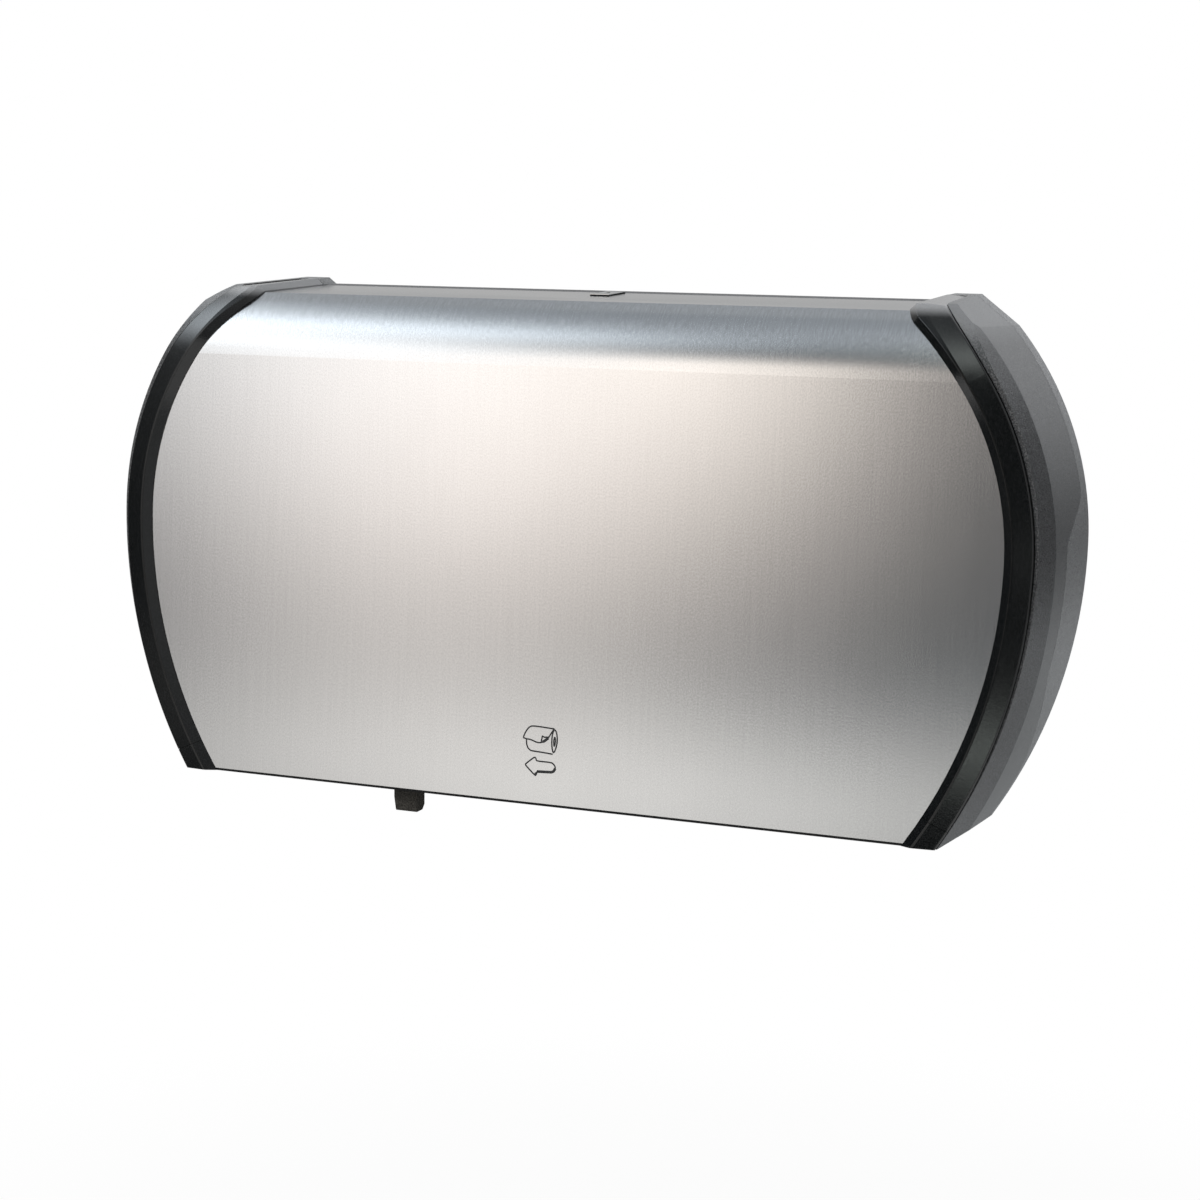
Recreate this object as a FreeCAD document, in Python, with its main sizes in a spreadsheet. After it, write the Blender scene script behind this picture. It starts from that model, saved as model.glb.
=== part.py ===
# Twin jumbo toilet tissue dispenser: a wall housing with two roll spindles side by side, a
# hinged cover with a brushed steel wrap between black arc trims, and a sliding shutter that
# closes one paper exit at a time. Millimetres, +X right, +Y into the wall, +Z up.
# The origin lies on the wall face, midway between the spindles and at their height.

import FreeCAD, Part
import math
import operator
import os
from types import SimpleNamespace

import Sketcher

Vector = FreeCAD.Vector
doc = FreeCAD.newDocument("TissueDispenser")

# Each size is measured in millimetres. Heights count up from the spindle axis, drops count
# down from it, and depths count from the wall towards the front.
SIZES = {
    # steel wrap seen from the front: two tangent arcs on each side, straight lower edge
    "steel_low_half": 197.0,
    "steel_wide_half": 241.0,
    "wide_height": 9.0,
    "upper_arc": 152.7,
    # steel wrap seen from the side: leaning face, rolled bend, crease, sloping top
    "cover_depth": 114.3,
    "face_run": 0.0507,
    "bend_radius": 41.4,
    "bend_height": 94.0,
    "top_rise": 133.5,
    "top_fall": 0.0463,
    "steel_sheet": 0.8,
    "shell_wall": 2.5,
    "lip_height": 1.3,
    # arc trims on the steel's side edges
    "trim_width": 13.8,
    "trim_proud": 3.8,
    "trim_bevel": 3.3,
    "trim_overlap": 1.0,
    "trim_lean": 1.3,
    "trim_round": 0.9,
    "trim_crest": 0.4,
    "trim_groove": 0.3,
    "crease_round": 7.0,
    "shoulder_round": 16.0,
    "tip_height": 14.0,
    "tip_gap": 0.25,
    "tip_slope": 0.45,
    # cheeks and housing sides, as offsets from the steel's side edge
    "cheek_front_offset": 14.3,
    "cheek_facet_offset": 20.2,
    "housing_offset": 20.6,
    "facet_depth": 86.0,
    "cheek_proud": 3.5,
    "cheek_front_proud": 0.3,
    "side_wall": 2.5,
    "side_split": 150.0,
    "flange_reach": 11.0,
    "corner_height": 121.3,
    "corner_top_half": 200.0,
    "housing_drop": 142.0,
    "underside_rise": 7.4,
    "keel_rise": 6.3,
    # seam between the cover and the housing
    "seam_gap": 0.5,
    "seam_depth": 15.8,
    "seam_low_depth": 12.0,
    "ear_depth": 57.5,
    "ear_top": 34.8,
    "ear_shoulder": 15.1,
    "ear_foot_drop": 52.0,
    "ear_toe_rise": 21.5,
    "ear_round": 8.0,
    # back plate and its wall screw holes
    "plate_wall": 3.0,
    "fit_gap": 0.15,
    "hole_spacing_wide": 300.0,
    "hole_spacing_high": 150.0,
    "hole_radius": 3.5,
    "boss_radius": 8.0,
    "boss_height": 2.0,
    # cover hinge
    "hinge_depth": 21.0,
    "knuckle_radius": 9.0,
    "hinge_pin_radius": 3.0,
    "hinge_play": 0.1,
    "knuckle_lift": 0.5,
    "knuckle_clear": 1.0,
    "bracket_inset": 17.7,
    "bracket_over": 3.0,
    "bracket_wall": 4.0,
    "bracket_reach": 31.0,
    "bracket_foot": 12.0,
    "bracket_foot_height": 18.0,
    "hinge_pin_bite": 7.5,
    # roll spindles
    "roll_diameter": 228.6,
    "roll_gap": 7.4,
    "spindle_radius": 9.0,
    "spindle_length": 78.5,
    "spindle_flange_radius": 30.0,
    "spindle_flange_wall": 4.0,
    "spindle_shoulder": 11.5,
    "spindle_shoulder_rise": 3.2,
    "hub_play": 0.1,
    "hub_end_play": 0.3,
    "hub_radius": 12.6,
    "hub_disc_radius": 46.0,
    "hub_disc_wall": 1.8,
    "core_radius": 40.5,
    "core_wall": 2.2,
    "core_length": 66.0,
    "spoke_wall": 2.6,
    "spoke_count": 6,
    "cap_radius": 14.0,
    "cap_wall": 3.6,
    "cap_round": 1.2,
    "cap_screw_length": 10.0,
    "screw_shank": 2.0,
    "screw_head": 3.9,
    "screw_head_height": 2.4,
    "screw_circle": 22.5,
    # floor of the housing with its two paper exits
    "shelf_wall": 2.5,
    "shelf_raise": 4.6,
    "shelf_rail_gap": 0.6,
    "shelf_front_gap": 1.4,
    "exit_inner": 8.5,
    "exit_width": 148.0,
    "exit_front_rim": 7.0,
    "exit_back_rim": 6.0,
    # shutter with its handle and the two rails that carry it
    "shutter_wall": 1.8,
    "shutter_play": 0.25,
    "shutter_overlap": 2.0,
    "rail_web": 1.5,
    "rail_foot": 1.3,
    "rail_lap": 1.9,
    "rail_stop": 4.0,
    "handle_width": 13.6,
    "handle_aside": 0.45,
    "handle_depth": 9.8,
    "handle_reach": 13.8,
    "handle_chamfer": 3.4,
    "handle_round": 0.8,
    # toothed tear strips
    "strip_wall": 1.0,
    "strip_drop": 5.4,
    "strip_foot": 9.0,
    "tooth_pitch": 3.0,
    "tooth_depth": 1.8,
    # latch in the middle of the top
    "latch_width": 10.7,
    "latch_gap": 0.35,
    "latch_proud": 0.9,
    "latch_front_depth": 41.2,
    "latch_wall": 2.2,
    "latch_pin_depth": 38.5,
    "latch_pin_drop": 5.6,
    "latch_pin_radius": 1.5,
    "latch_boss_radius": 2.9,
    "latch_play": 0.08,
    "latch_tongue_drop": 7.0,
    "latch_tongue_wall": 2.0,
    "latch_barb": 2.4,
    "strike_wall": 1.5,
    "strike_depth": 10.0,
    "strike_play": 0.6,
    "strike_clear": 0.5,
    "strike_half": 8.3,
    "rail_top_wall": 2.5,
    "rail_inset": 2.0,
    # stiffener under the cover's rear edge
    "stiff_setback": 1.0,
    "stiff_reach": 7.0,
    "stiff_drop": 6.0,
    "stiff_wall": 2.0,
    "stiff_inset": 3.0,
}


class Size:
    # a number from the sheet together with the formula that yields it
    def __init__(self, value, formula):
        self.value = value
        self.formula = formula

    def __add__(self, other):
        return joined(self, "+", other)

    def __radd__(self, other):
        return joined(other, "+", self)

    def __sub__(self, other):
        return joined(self, "-", other)

    def __rsub__(self, other):
        return joined(other, "-", self)

    def __mul__(self, other):
        return joined(self, "*", other)

    def __rmul__(self, other):
        return joined(other, "*", self)

    def __truediv__(self, other):
        return joined(self, "/", other)

    def __neg__(self):
        return joined(0.0, "-", self)


SIGNS = {"+": operator.add, "-": operator.sub, "*": operator.mul, "/": operator.truediv}


def sized(number):
    if isinstance(number, Size):
        return number
    text = "%.9g" % number
    return Size(float(number), text if number >= 0 else "(0 - %.9g)" % -number)


def joined(first, sign, second):
    first = sized(first)
    second = sized(second)
    value = SIGNS[sign](first.value, second.value)
    return Size(value, "(%s %s %s)" % (first.formula, sign, second.formula))


def root(size):
    return Size(math.sqrt(size.value), "sqrt(%s)" % size.formula)


def larger(first, second):
    first = sized(first)
    second = sized(second)
    return Size(max(first.value, second.value), "max(%s; %s)" % (first.formula, second.formula))


sheet = doc.addObject("Spreadsheet::Sheet", "Sizes")
rows = []


def add_row(alias, text):
    rows.append(alias)
    sheet.set("A%d" % len(rows), alias)
    sheet.set("B%d" % len(rows), text)
    sheet.setAlias("B%d" % len(rows), alias)


def derived(alias, size):
    # a row of the sheet that is worked out from the rows above it
    add_row(alias, "=" + size.formula.replace("Sizes.", ""))
    return Size(size.value, "Sizes." + alias)


for alias, number in SIZES.items():
    add_row(alias, str(number))
dim = SimpleNamespace(**{name: Size(float(number), "Sizes." + name) for name, number in SIZES.items()})


# Derived places that several pieces share

upper_centre = derived("upper_centre", dim.steel_wide_half - dim.upper_arc)
steel_drop = derived("steel_drop", dim.housing_drop - dim.underside_rise)
low_rise = dim.wide_height + steel_drop
low_sag = dim.steel_wide_half - dim.steel_low_half
lower_arc = derived("lower_arc", (low_rise * low_rise + low_sag * low_sag) / (2 * low_sag))
lower_centre = derived("lower_centre", dim.steel_wide_half - lower_arc)
outline_low = derived("outline_low", -(dim.housing_drop + 10))
outline_high = derived("outline_high", dim.top_rise + dim.trim_proud + 2)
face_slant = derived("face_slant", root(1 + dim.face_run * dim.face_run))
face_lift = derived("face_lift", dim.face_run / face_slant)
face_top = derived("face_top", dim.bend_height + dim.bend_radius * face_lift)
bend_middle = derived("bend_middle", dim.bend_radius / face_slant - dim.cover_depth
                      + (face_top + steel_drop) * dim.face_run)
top_square = derived("top_square", 1 + dim.top_fall * dim.top_fall)
underside_fall = derived("underside_fall", (dim.housing_drop - steel_drop) / dim.cover_depth)
hinge_height = derived("hinge_height", -(dim.housing_drop - dim.knuckle_radius - dim.knuckle_lift))
ear_toe = derived("ear_toe", hinge_height + dim.ear_toe_rise)
spindle_half = derived("spindle_half", (dim.roll_diameter + dim.roll_gap) / 2)
rail_stack = dim.shutter_wall + 2 * dim.shutter_play + dim.rail_foot + dim.shelf_rail_gap
shelf_under = derived("shelf_under", larger(dim.shelf_raise - steel_drop,
                                            dim.side_wall + rail_stack - dim.housing_drop))
shelf_front = derived("shelf_front", dim.cover_depth - dim.steel_sheet - dim.shell_wall - dim.shelf_front_gap)
exit_outer = derived("exit_outer", dim.exit_inner + dim.exit_width)
extrude_half = derived("extrude_half", dim.steel_wide_half + 2 * dim.housing_offset)
block_depth = derived("block_depth", 2 * dim.cover_depth)
block_height = derived("block_height", 2 * dim.housing_drop)


def half_width(offset, height):
    # distance from the middle to the side outline, at a height, for an offset of the outline
    rise = height - dim.wide_height
    if rise.value > 0:
        arc = dim.upper_arc + offset
        return upper_centre + root(arc * arc - rise * rise)
    arc = lower_arc + offset
    return lower_centre + root(arc * arc - rise * rise)


def face_touch(offset):
    # where the leaning face runs into the bend, as (y, z)
    arc = dim.bend_radius + offset
    return bend_middle - arc / face_slant, dim.bend_height + arc * face_lift


def fold_at(arc, level):
    # where a circle round the bend's centre meets a line that slopes as the top does, as (y, z)
    step = level - dim.bend_height
    linear = dim.top_fall * step - bend_middle
    constant = bend_middle * bend_middle + step * step - arc * arc
    depth = (-linear - root(linear * linear - top_square * constant)) / top_square
    return depth, level + depth * dim.top_fall


def crease(offset):
    # where the bend ends at the sloping top, as (y, z)
    return fold_at(dim.bend_radius + offset, dim.top_rise + offset)


def round_crease(name, face_offset, top_offset, radius):
    # the two ends of the arc that rounds the crease, the first one with its arc
    arc = dim.bend_radius + face_offset
    centre = fold_at(arc - radius, dim.top_rise + top_offset - radius * root(top_square))
    middle_y = derived(name + "_middle_y", centre[0])
    middle_z = derived(name + "_middle_z", centre[1])
    reach = arc / (arc - radius)
    start_y = derived(name + "_start_y", bend_middle + (middle_y - bend_middle) * reach)
    start_z = derived(name + "_start_z", dim.bend_height + (middle_z - dim.bend_height) * reach)
    end_y = derived(name + "_end_y", middle_y - radius * dim.top_fall / root(top_square))
    end_z = derived(name + "_end_z", middle_z + radius / root(top_square))
    return [(start_y, start_z, radius, (middle_y, middle_z)), (end_y, end_z)]


def top_height(offset, depth):
    return dim.top_rise + offset - depth * dim.top_fall


def face_depth(offset, height):
    # y of the leaning face at a height
    touch_y, touch_z = face_touch(offset)
    return touch_y - (touch_z - height) * dim.face_run


def underside(y):
    return -dim.housing_drop - y * underside_fall


def face_foot(offset, raised):
    # lower end of the face on the sloping underside, moved up by a distance
    touch_y, touch_z = face_touch(offset)
    reach = touch_z + dim.housing_drop - raised
    y = (touch_y - dim.face_run * reach) / (1 + dim.face_run * underside_fall)
    return y, -dim.housing_drop + raised - y * underside_fall


crease_height = derived("crease_height", crease(sized(0))[1])
shoulder_rise = crease_height - dim.wide_height
shoulder_half = derived("shoulder_half", upper_centre
                        + root(dim.upper_arc * dim.upper_arc - shoulder_rise * shoulder_rise))
bracket_half = derived("bracket_half", half_width(dim.housing_offset, hinge_height) - dim.bracket_inset)


# Sketches. A corner is (x, y); an arc corner is (x, y, radius, (centre x, centre y)) and its
# arc runs from that corner to the next one.

FRONT = FreeCAD.Rotation(Vector(1, 0, 0), 90)
SIDE = FreeCAD.Rotation(Vector(1, 1, 1), 120)
LEVEL = FreeCAD.Rotation()


def fix_point(sketch, geometry, vertex, x, y):
    for kind, size in (("DistanceX", x), ("DistanceY", y)):
        if abs(size.value) < 1e-7:
            on_axis = Sketcher.Constraint("PointOnObject", geometry, vertex, -2 if kind == "DistanceX" else -1)
            sketch.addConstraint(on_axis)
            continue
        number = sketch.addConstraint(Sketcher.Constraint(kind, -1, 1, geometry, vertex, size.value))
        sketch.setExpression("Constraints[%d]" % number, size.formula)


def draw_loop(sketch, corners):
    corners = [tuple(sized(part) if index < 3 else part for index, part in enumerate(corner)) for corner in corners]
    first = sketch.GeometryCount
    for index, corner in enumerate(corners):
        following = corners[(index + 1) % len(corners)]
        start = Vector(corner[0].value, corner[1].value, 0)
        end = Vector(following[0].value, following[1].value, 0)
        if len(corner) == 2:
            sketch.addGeometry(Part.LineSegment(start, end))
            continue
        centre = Vector(sized(corner[3][0]).value, sized(corner[3][1]).value, 0)
        circle = Part.Circle(centre, Vector(0, 0, 1), corner[2].value)
        turn = circle.parameter(start)
        other = circle.parameter(end)
        clockwise = (other - turn) % (2 * math.pi) > math.pi
        turn, other = (other, turn) if clockwise else (turn, other)
        if other < turn:
            other += 2 * math.pi
        sketch.addGeometry(Part.ArcOfCircle(circle, turn, other))
    for index, corner in enumerate(corners):
        geometry = sketch.Geometry[first + index]
        start = Vector(corner[0].value, corner[1].value, 0)
        forward = geometry.StartPoint.distanceToPoint(start) < 1e-4
        vertex = 1 if forward else 2
        previous = sketch.Geometry[first + (index - 1) % len(corners)]
        joint = 2 if previous.EndPoint.distanceToPoint(start) < 1e-4 else 1
        sketch.addConstraint(Sketcher.Constraint(
            "Coincident", first + (index - 1) % len(corners), joint, first + index, vertex))
        fix_point(sketch, first + index, vertex, corner[0], corner[1])
    for index, corner in enumerate(corners):
        if len(corner) > 2:
            number = sketch.addConstraint(Sketcher.Constraint("Radius", first + index, corner[2].value))
            sketch.setExpression("Constraints[%d]" % number, corner[2].formula)
    return sketch


def draw_circle(sketch, x, y, radius):
    x = sized(x)
    y = sized(y)
    radius = sized(radius)
    circle = Part.Circle(Vector(x.value, y.value, 0), Vector(0, 0, 1), radius.value)
    geometry = sketch.addGeometry(circle)
    fix_point(sketch, geometry, 3, x, y)
    number = sketch.addConstraint(Sketcher.Constraint("Radius", geometry, radius.value))
    sketch.setExpression("Constraints[%d]" % number, radius.formula)
    return sketch


def free_sketch(name, rotation, corners):
    sketch = doc.addObject("Sketcher::SketchObject", name)
    sketch.Placement = FreeCAD.Placement(Vector(0, 0, 0), rotation)
    return draw_loop(sketch, corners)


def bind(thing, path, size):
    size = sized(size)
    thing.setExpression(path, size.formula)


def shift(thing, x=None, y=None, z=None):
    for letter, size in (("x", x), ("y", y), ("z", z)):
        if size is not None:
            bind(thing, "Placement.Base." + letter, size)
    return thing


# Construction solids and booleans

def extruded(name, sketch, direction, forward, backward=0):
    solid = doc.addObject("Part::Extrusion", name)
    solid.Base = sketch
    solid.DirMode = "Custom"
    solid.Dir = direction
    solid.Solid = True
    bind(solid, "LengthFwd", forward)
    bind(solid, "LengthRev", backward)
    return solid


def across(name, corners, half=None, start=None):
    # a side section carried across the width
    sketch = free_sketch(name + "_section", SIDE, corners)
    if start is None:
        half = extrude_half if half is None else half
        return extruded(name, sketch, Vector(1, 0, 0), half, half)
    solid = extruded(name, sketch, Vector(1, 0, 0), half)
    return shift(solid, x=start)


def through(name, corners, depth, start=0):
    # a front outline carried from the wall towards the front
    sketch = free_sketch(name + "_outline", FRONT, corners)
    solid = extruded(name, sketch, Vector(0, -1, 0), depth)
    return shift(solid, y=-sized(start))


def common(name, *parts):
    result = doc.addObject("Part::MultiCommon", name)
    result.Shapes = list(parts)
    return result


def fused(name, *parts):
    result = doc.addObject("Part::MultiFuse", name)
    result.Shapes = list(parts)
    return result


def cut(name, base, *tools):
    result = doc.addObject("Part::Cut", name)
    result.Base = base
    result.Tool = tools[0] if len(tools) == 1 else fused(name + "_tools", *tools)
    return result


def box(name, x, y, z, length, width, height):
    block = doc.addObject("Part::Box", name)
    bind(block, "Length", length)
    bind(block, "Width", width)
    bind(block, "Height", height)
    return shift(block, x=sized(x), y=sized(y), z=sized(z))


def rod(name, axis, x, y, z, radius, length):
    cylinder = doc.addObject("Part::Cylinder", name)
    bind(cylinder, "Radius", radius)
    bind(cylinder, "Height", length)
    cylinder.Placement = FreeCAD.Placement(Vector(0, 0, 0), FreeCAD.Rotation(Vector(0, 0, 1), axis))
    return shift(cylinder, x=sized(x), y=sized(y), z=sized(z))


PIECES = {}


def piece(name, thing):
    thing.Label = name
    PIECES[name] = thing
    return thing


def new_body(name):
    body = doc.addObject("PartDesign::Body", name)
    PIECES[name] = body
    body.Label = name
    return body


def body_sketch(body, name, role, corners=None, offset=None):
    sketch = body.newObject("Sketcher::SketchObject", name)
    plane = [feature for feature in body.Origin.OriginFeatures if feature.Role == role][0]
    sketch.AttachmentSupport = [(plane, "")]
    sketch.MapMode = "FlatFace"
    if offset is not None:
        bind(sketch, "AttachmentOffset.Base.z", offset)
    if corners:
        draw_loop(sketch, corners)
    return sketch


def feature(body, kind, name, sketch, length, reverse=False, midplane=False):
    result = body.newObject("PartDesign::" + kind, name)
    result.Profile = sketch
    bind(result, "Length", length)
    result.Reversed = reverse
    result.Midplane = midplane
    sketch.Visibility = False
    doc.recompute()
    return result


def rectangle(left, low, right, high):
    return [(left, low), (right, low), (right, high), (left, high)]


# Outline and section shapes that the big pieces are cut from

def outline_loop(offset, upright=False):
    # the side outline at an offset; upright turns it straight up where the top begins
    wide = dim.steel_wide_half + offset
    low = half_width(offset, outline_low)
    lower = lower_arc + offset
    upper = dim.upper_arc + offset
    peak = outline_high - dim.wide_height
    high = upper_centre + root(upper * upper - peak * peak)
    turn = []
    back = [(-high, outline_high, upper, (-upper_centre, dim.wide_height))]
    if upright:
        high = shoulder_half + offset
        bend = dim.shoulder_round - offset
        reach = upper + bend
        run = high + bend - upper_centre
        rise = root(reach * reach - run * run)
        start_x = upper_centre + run * upper / reach
        start_z = dim.wide_height + rise * upper / reach
        level = dim.wide_height + rise
        turn = [(start_x, start_z, bend, (high + bend, level)), (high, level)]
        back = [(-high, outline_high), (-high, level, bend, (-(high + bend), level)),
                (-start_x, start_z, upper, (-upper_centre, dim.wide_height))]
    return [
        (-low, outline_low),
        (low, outline_low, lower, (lower_centre, dim.wide_height)),
        (wide, dim.wide_height, upper, (upper_centre, dim.wide_height)),
    ] + turn + [(high, outline_high)] + back + [
        (-wide, dim.wide_height, lower, (-lower_centre, dim.wide_height)),
    ]


def prism(name, offset, upright=False):
    depth = dim.cover_depth + dim.trim_proud + 10
    return through(name, outline_loop(sized(offset), upright), depth)


def block_section(offset, spare, top_offset=None, folded=None):
    # everything behind the cover's surface; spare opens it towards the wall and downwards
    offset = sized(offset)
    spare = sized(spare)
    top_offset = offset if top_offset is None else top_offset
    touch = face_touch(offset)
    foot = face_foot(offset, -spare)
    return [
        (spare, -dim.housing_drop - spare - spare * underside_fall),
        foot,
        (touch[0], touch[1], dim.bend_radius + offset, (bend_middle, dim.bend_height)),
    ] + (folded or [crease(offset)]) + [
        (spare, dim.top_rise + top_offset + spare * dim.top_fall),
    ]


def sheet_section(outer, inner, rear, raised, folded=None):
    # a layer that follows face, bend and top between two offsets
    outer = sized(outer)
    inner = sized(inner)
    touch = face_touch(outer)
    inner_touch = face_touch(inner)
    inner_fold = crease(inner)
    centre = (bend_middle, dim.bend_height)
    return [
        face_foot(outer, raised),
        (touch[0], touch[1], dim.bend_radius + outer, centre),
    ] + (folded or [crease(outer)]) + [
        (-rear, top_height(outer, rear)),
        (-rear, top_height(inner, rear)),
        (inner_fold[0], inner_fold[1], dim.bend_radius + inner, centre),
        inner_touch,
        face_foot(inner, raised),
    ]


def corner_loop(inset):
    # region under the two slanted top corners
    top_x = dim.corner_top_half
    top_z = dim.top_rise + dim.cheek_proud
    low_x = half_width(dim.housing_offset, dim.corner_height)
    run = low_x - top_x
    fall = top_z - dim.corner_height
    steep = fall / run
    drop = inset * root(1 + steep * steep)
    outer_x = extrude_half
    inner_x = 0.7 * top_x
    return [
        (-outer_x, outline_low - 10),
        (outer_x, outline_low - 10),
        (outer_x, top_z - drop - (outer_x - top_x) * steep),
        (inner_x, top_z - drop + (top_x - inner_x) * steep),
        (-inner_x, top_z - drop + (top_x - inner_x) * steep),
        (-outer_x, top_z - drop - (outer_x - top_x) * steep),
    ]


def envelope(name, inset):
    # outer side surfaces of cheeks and housing: two conical facets meeting at a line
    front = dim.cover_depth + dim.trim_proud + 8
    rise = (dim.cheek_facet_offset - dim.cheek_front_offset) / (dim.cover_depth - dim.facet_depth)
    stations = [
        (front, dim.cheek_front_offset - (front - dim.cover_depth) * rise - inset),
        (dim.facet_depth, dim.cheek_facet_offset - inset),
        (sized(0), dim.housing_offset - inset),
    ]
    sections = []
    for number, (depth, offset) in enumerate(stations):
        sketch = free_sketch("%s_station_%d" % (name, number), FRONT, outline_loop(offset))
        shift(sketch, y=-depth)
        sections.append(sketch)
    loft = doc.addObject("Part::Loft", name)
    loft.Sections = sections
    loft.Solid = True
    loft.Ruled = True
    return loft


def keel(name):
    # what the two slanting planes under the outer corners take away; they rise outwards and forwards
    front_x = half_width(dim.cheek_front_offset, -steel_drop)
    fold_z = underside(-dim.facet_depth) + dim.keel_rise
    fold_x = half_width(dim.cheek_facet_offset, fold_z)
    rear_x = half_width(dim.housing_offset, -dim.housing_drop)
    fold_reach = derived(name + "_fold_reach", fold_x - rear_x)
    front_reach = derived(name + "_front_reach", front_x - rear_x)
    fold_lift = derived(name + "_fold_lift", fold_z + dim.housing_drop)
    front_lift = derived(name + "_front_lift", dim.housing_drop - steel_drop)
    spread = derived(name + "_spread", fold_reach * dim.cover_depth - front_reach * dim.facet_depth)
    outward = derived(name + "_outward", (fold_lift * dim.cover_depth - front_lift * dim.facet_depth) / spread)
    forward = derived(name + "_forward", (fold_reach * front_lift - front_reach * fold_lift) / spread)
    inner_x = 0.8 * rear_x
    blocks = []
    for sign, side in ((-1, "left"), (1, "right")):
        sections = []
        for number, depth in enumerate((-0.2 * dim.cover_depth, 1.4 * dim.cover_depth)):
            rear_z = forward * depth - dim.housing_drop
            loop = [
                (sign * inner_x, -2 * dim.housing_drop),
                (sign * extrude_half, -2 * dim.housing_drop),
                (sign * extrude_half, rear_z + outward * (extrude_half - rear_x)),
                (sign * inner_x, rear_z + outward * (inner_x - rear_x)),
            ]
            sketch = free_sketch("%s_%s_%d" % (name, side, number), FRONT, loop[::sign])
            shift(sketch, y=-depth)
            sections.append(sketch)
        loft = doc.addObject("Part::Loft", name + side.title())
        loft.Sections = sections
        loft.Solid = True
        loft.Ruled = True
        blocks.append(loft)
    return fused(name, *blocks)


def seam_loop(gap, around_knuckle):
    # everything behind the seam: its ear reaches forward along the housing's side
    arc = dim.knuckle_radius + gap
    low = outline_low - 15
    high = dim.top_rise + 20
    knuckle = (-dim.hinge_depth, hinge_height)
    corners = [
        (5, low),
        (5, high),
        (-dim.seam_depth + gap, high),
        (-dim.seam_depth + gap, dim.ear_top),
        (-dim.ear_depth + gap, dim.ear_shoulder),
        (-dim.ear_depth + gap, -dim.ear_foot_drop),
        (-dim.hinge_depth + arc, ear_toe),
    ]
    if around_knuckle:
        corners += [
            (-dim.hinge_depth + arc, hinge_height, arc, knuckle),
            (-dim.hinge_depth, hinge_height - arc),
            (-dim.hinge_depth, low),
        ]
    else:
        corners.append((-dim.hinge_depth + arc, low))
    return corners


def seam_block(name, gap, around_knuckle):
    # the seam's block with its four ear corners rounded, so that the gap stays even
    block = across(name + "Sharp", seam_loop(gap, around_knuckle))
    doc.recompute()
    places = [
        (-dim.seam_depth + gap, dim.ear_top, dim.ear_round + gap),
        (-dim.ear_depth + gap, dim.ear_shoulder, dim.ear_round - gap),
        (-dim.ear_depth + gap, -dim.ear_foot_drop, dim.ear_round - gap),
        (-dim.hinge_depth + dim.knuckle_radius + gap, ear_toe, dim.ear_round + gap),
    ]
    edges = []
    for number, edge in enumerate(block.Shape.Edges, start=1):
        middle = edge.BoundBox.Center
        for y, z, radius in places:
            if edge.BoundBox.XLength > 100 and math.hypot(middle.y - y.value, middle.z - z.value) < 0.01:
                edges.append((number, radius.value, radius.value))
    rounded_block = doc.addObject("Part::Fillet", name)
    rounded_block.Base = block
    rounded_block.Edges = edges
    return rounded_block


def profile_gap(y, z, offset):
    # signed distance of a point in front of the surface at an offset
    touch_y, touch_z = face_touch(sized(offset))
    fold_y, fold_z = crease(sized(offset))
    if z < touch_z.value:
        line_y = touch_y.value - (touch_z.value - z) * dim.face_run.value
        return (line_y - y) / face_slant.value
    if y < fold_y.value:
        middle = bend_middle.value
        return math.hypot(y - middle, z - dim.bend_height.value) - dim.bend_radius.value - offset
    return z - (dim.top_rise.value + offset + y * dim.top_fall.value)


def outline_gap(x, z, offset):
    # signed distance of a point outside the side outline at an offset
    x = abs(x)
    if z > dim.wide_height.value:
        return math.hypot(x - upper_centre.value, z - dim.wide_height.value) - dim.upper_arc.value - offset
    return math.hypot(x - lower_centre.value, z - dim.wide_height.value) - lower_arc.value - offset


def edges_along(shape, side_offset, surface_offset, slack=0.02):
    # edges where an outline meets the surface; the straight top edges continue them
    found = []
    for number, edge in enumerate(shape.Edges, start=1):
        first, last = edge.ParameterRange
        points = [edge.valueAt(first + (last - first) * step / 4) for step in range(5)]
        beside = all(abs(outline_gap(p.x, p.z, side_offset)) < slack for p in points)
        above = all(abs(profile_gap(p.y, p.z, surface_offset)) < slack for p in points)
        if beside and above:
            found.append(number)
    return found


steel_prism = prism("SteelPrism", -dim.trim_overlap - dim.fit_gap / 3, True)
trim_prism = prism("TrimPrism", dim.trim_width)
trim_inner_prism = prism("TrimInnerPrism", -dim.trim_overlap, True)
groove_prism = prism("GroovePrism", dim.trim_width + dim.trim_groove)
shell_prism = prism("ShellPrism", dim.trim_width - dim.flange_reach)
shell_fit_prism = prism("ShellFitPrism", dim.trim_width - dim.flange_reach - dim.fit_gap)

outer_envelope = envelope("OuterEnvelope", sized(0))
inner_envelope = envelope("InnerEnvelope", dim.side_wall)
corner_block = through("CornerBlock", corner_loop(sized(0)), 1.5 * dim.cover_depth, -0.2 * dim.cover_depth)
inner_corner_block = through("InnerCornerBlock", corner_loop(dim.side_wall), 1.5 * dim.cover_depth,
                             -0.2 * dim.cover_depth)

side_half = extrude_half - dim.side_split
left_half = box("LeftHalf", -extrude_half, -block_depth, -block_height, side_half, 1.1 * block_depth, 2 * block_height)
right_half = box("RightHalf", dim.side_split, -block_depth, -block_height, side_half, 1.1 * block_depth,
                 2 * block_height)


# Cover: steel wrap, shell behind it and the lip under it

notch_half = dim.latch_width / 2 + dim.latch_gap
notch_front = dim.latch_front_depth + dim.latch_gap
steel_layer = across("SteelLayer", sheet_section(0, -dim.steel_sheet, dim.seam_depth, dim.lip_height))
steel_notch = box("SteelNotch", -notch_half, -notch_front, dim.bend_height, 2 * notch_half, notch_front, dim.top_rise)
piece("steel_panel", cut("SteelPanel", common("SteelBlank", steel_layer, steel_prism), steel_notch))

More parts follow.
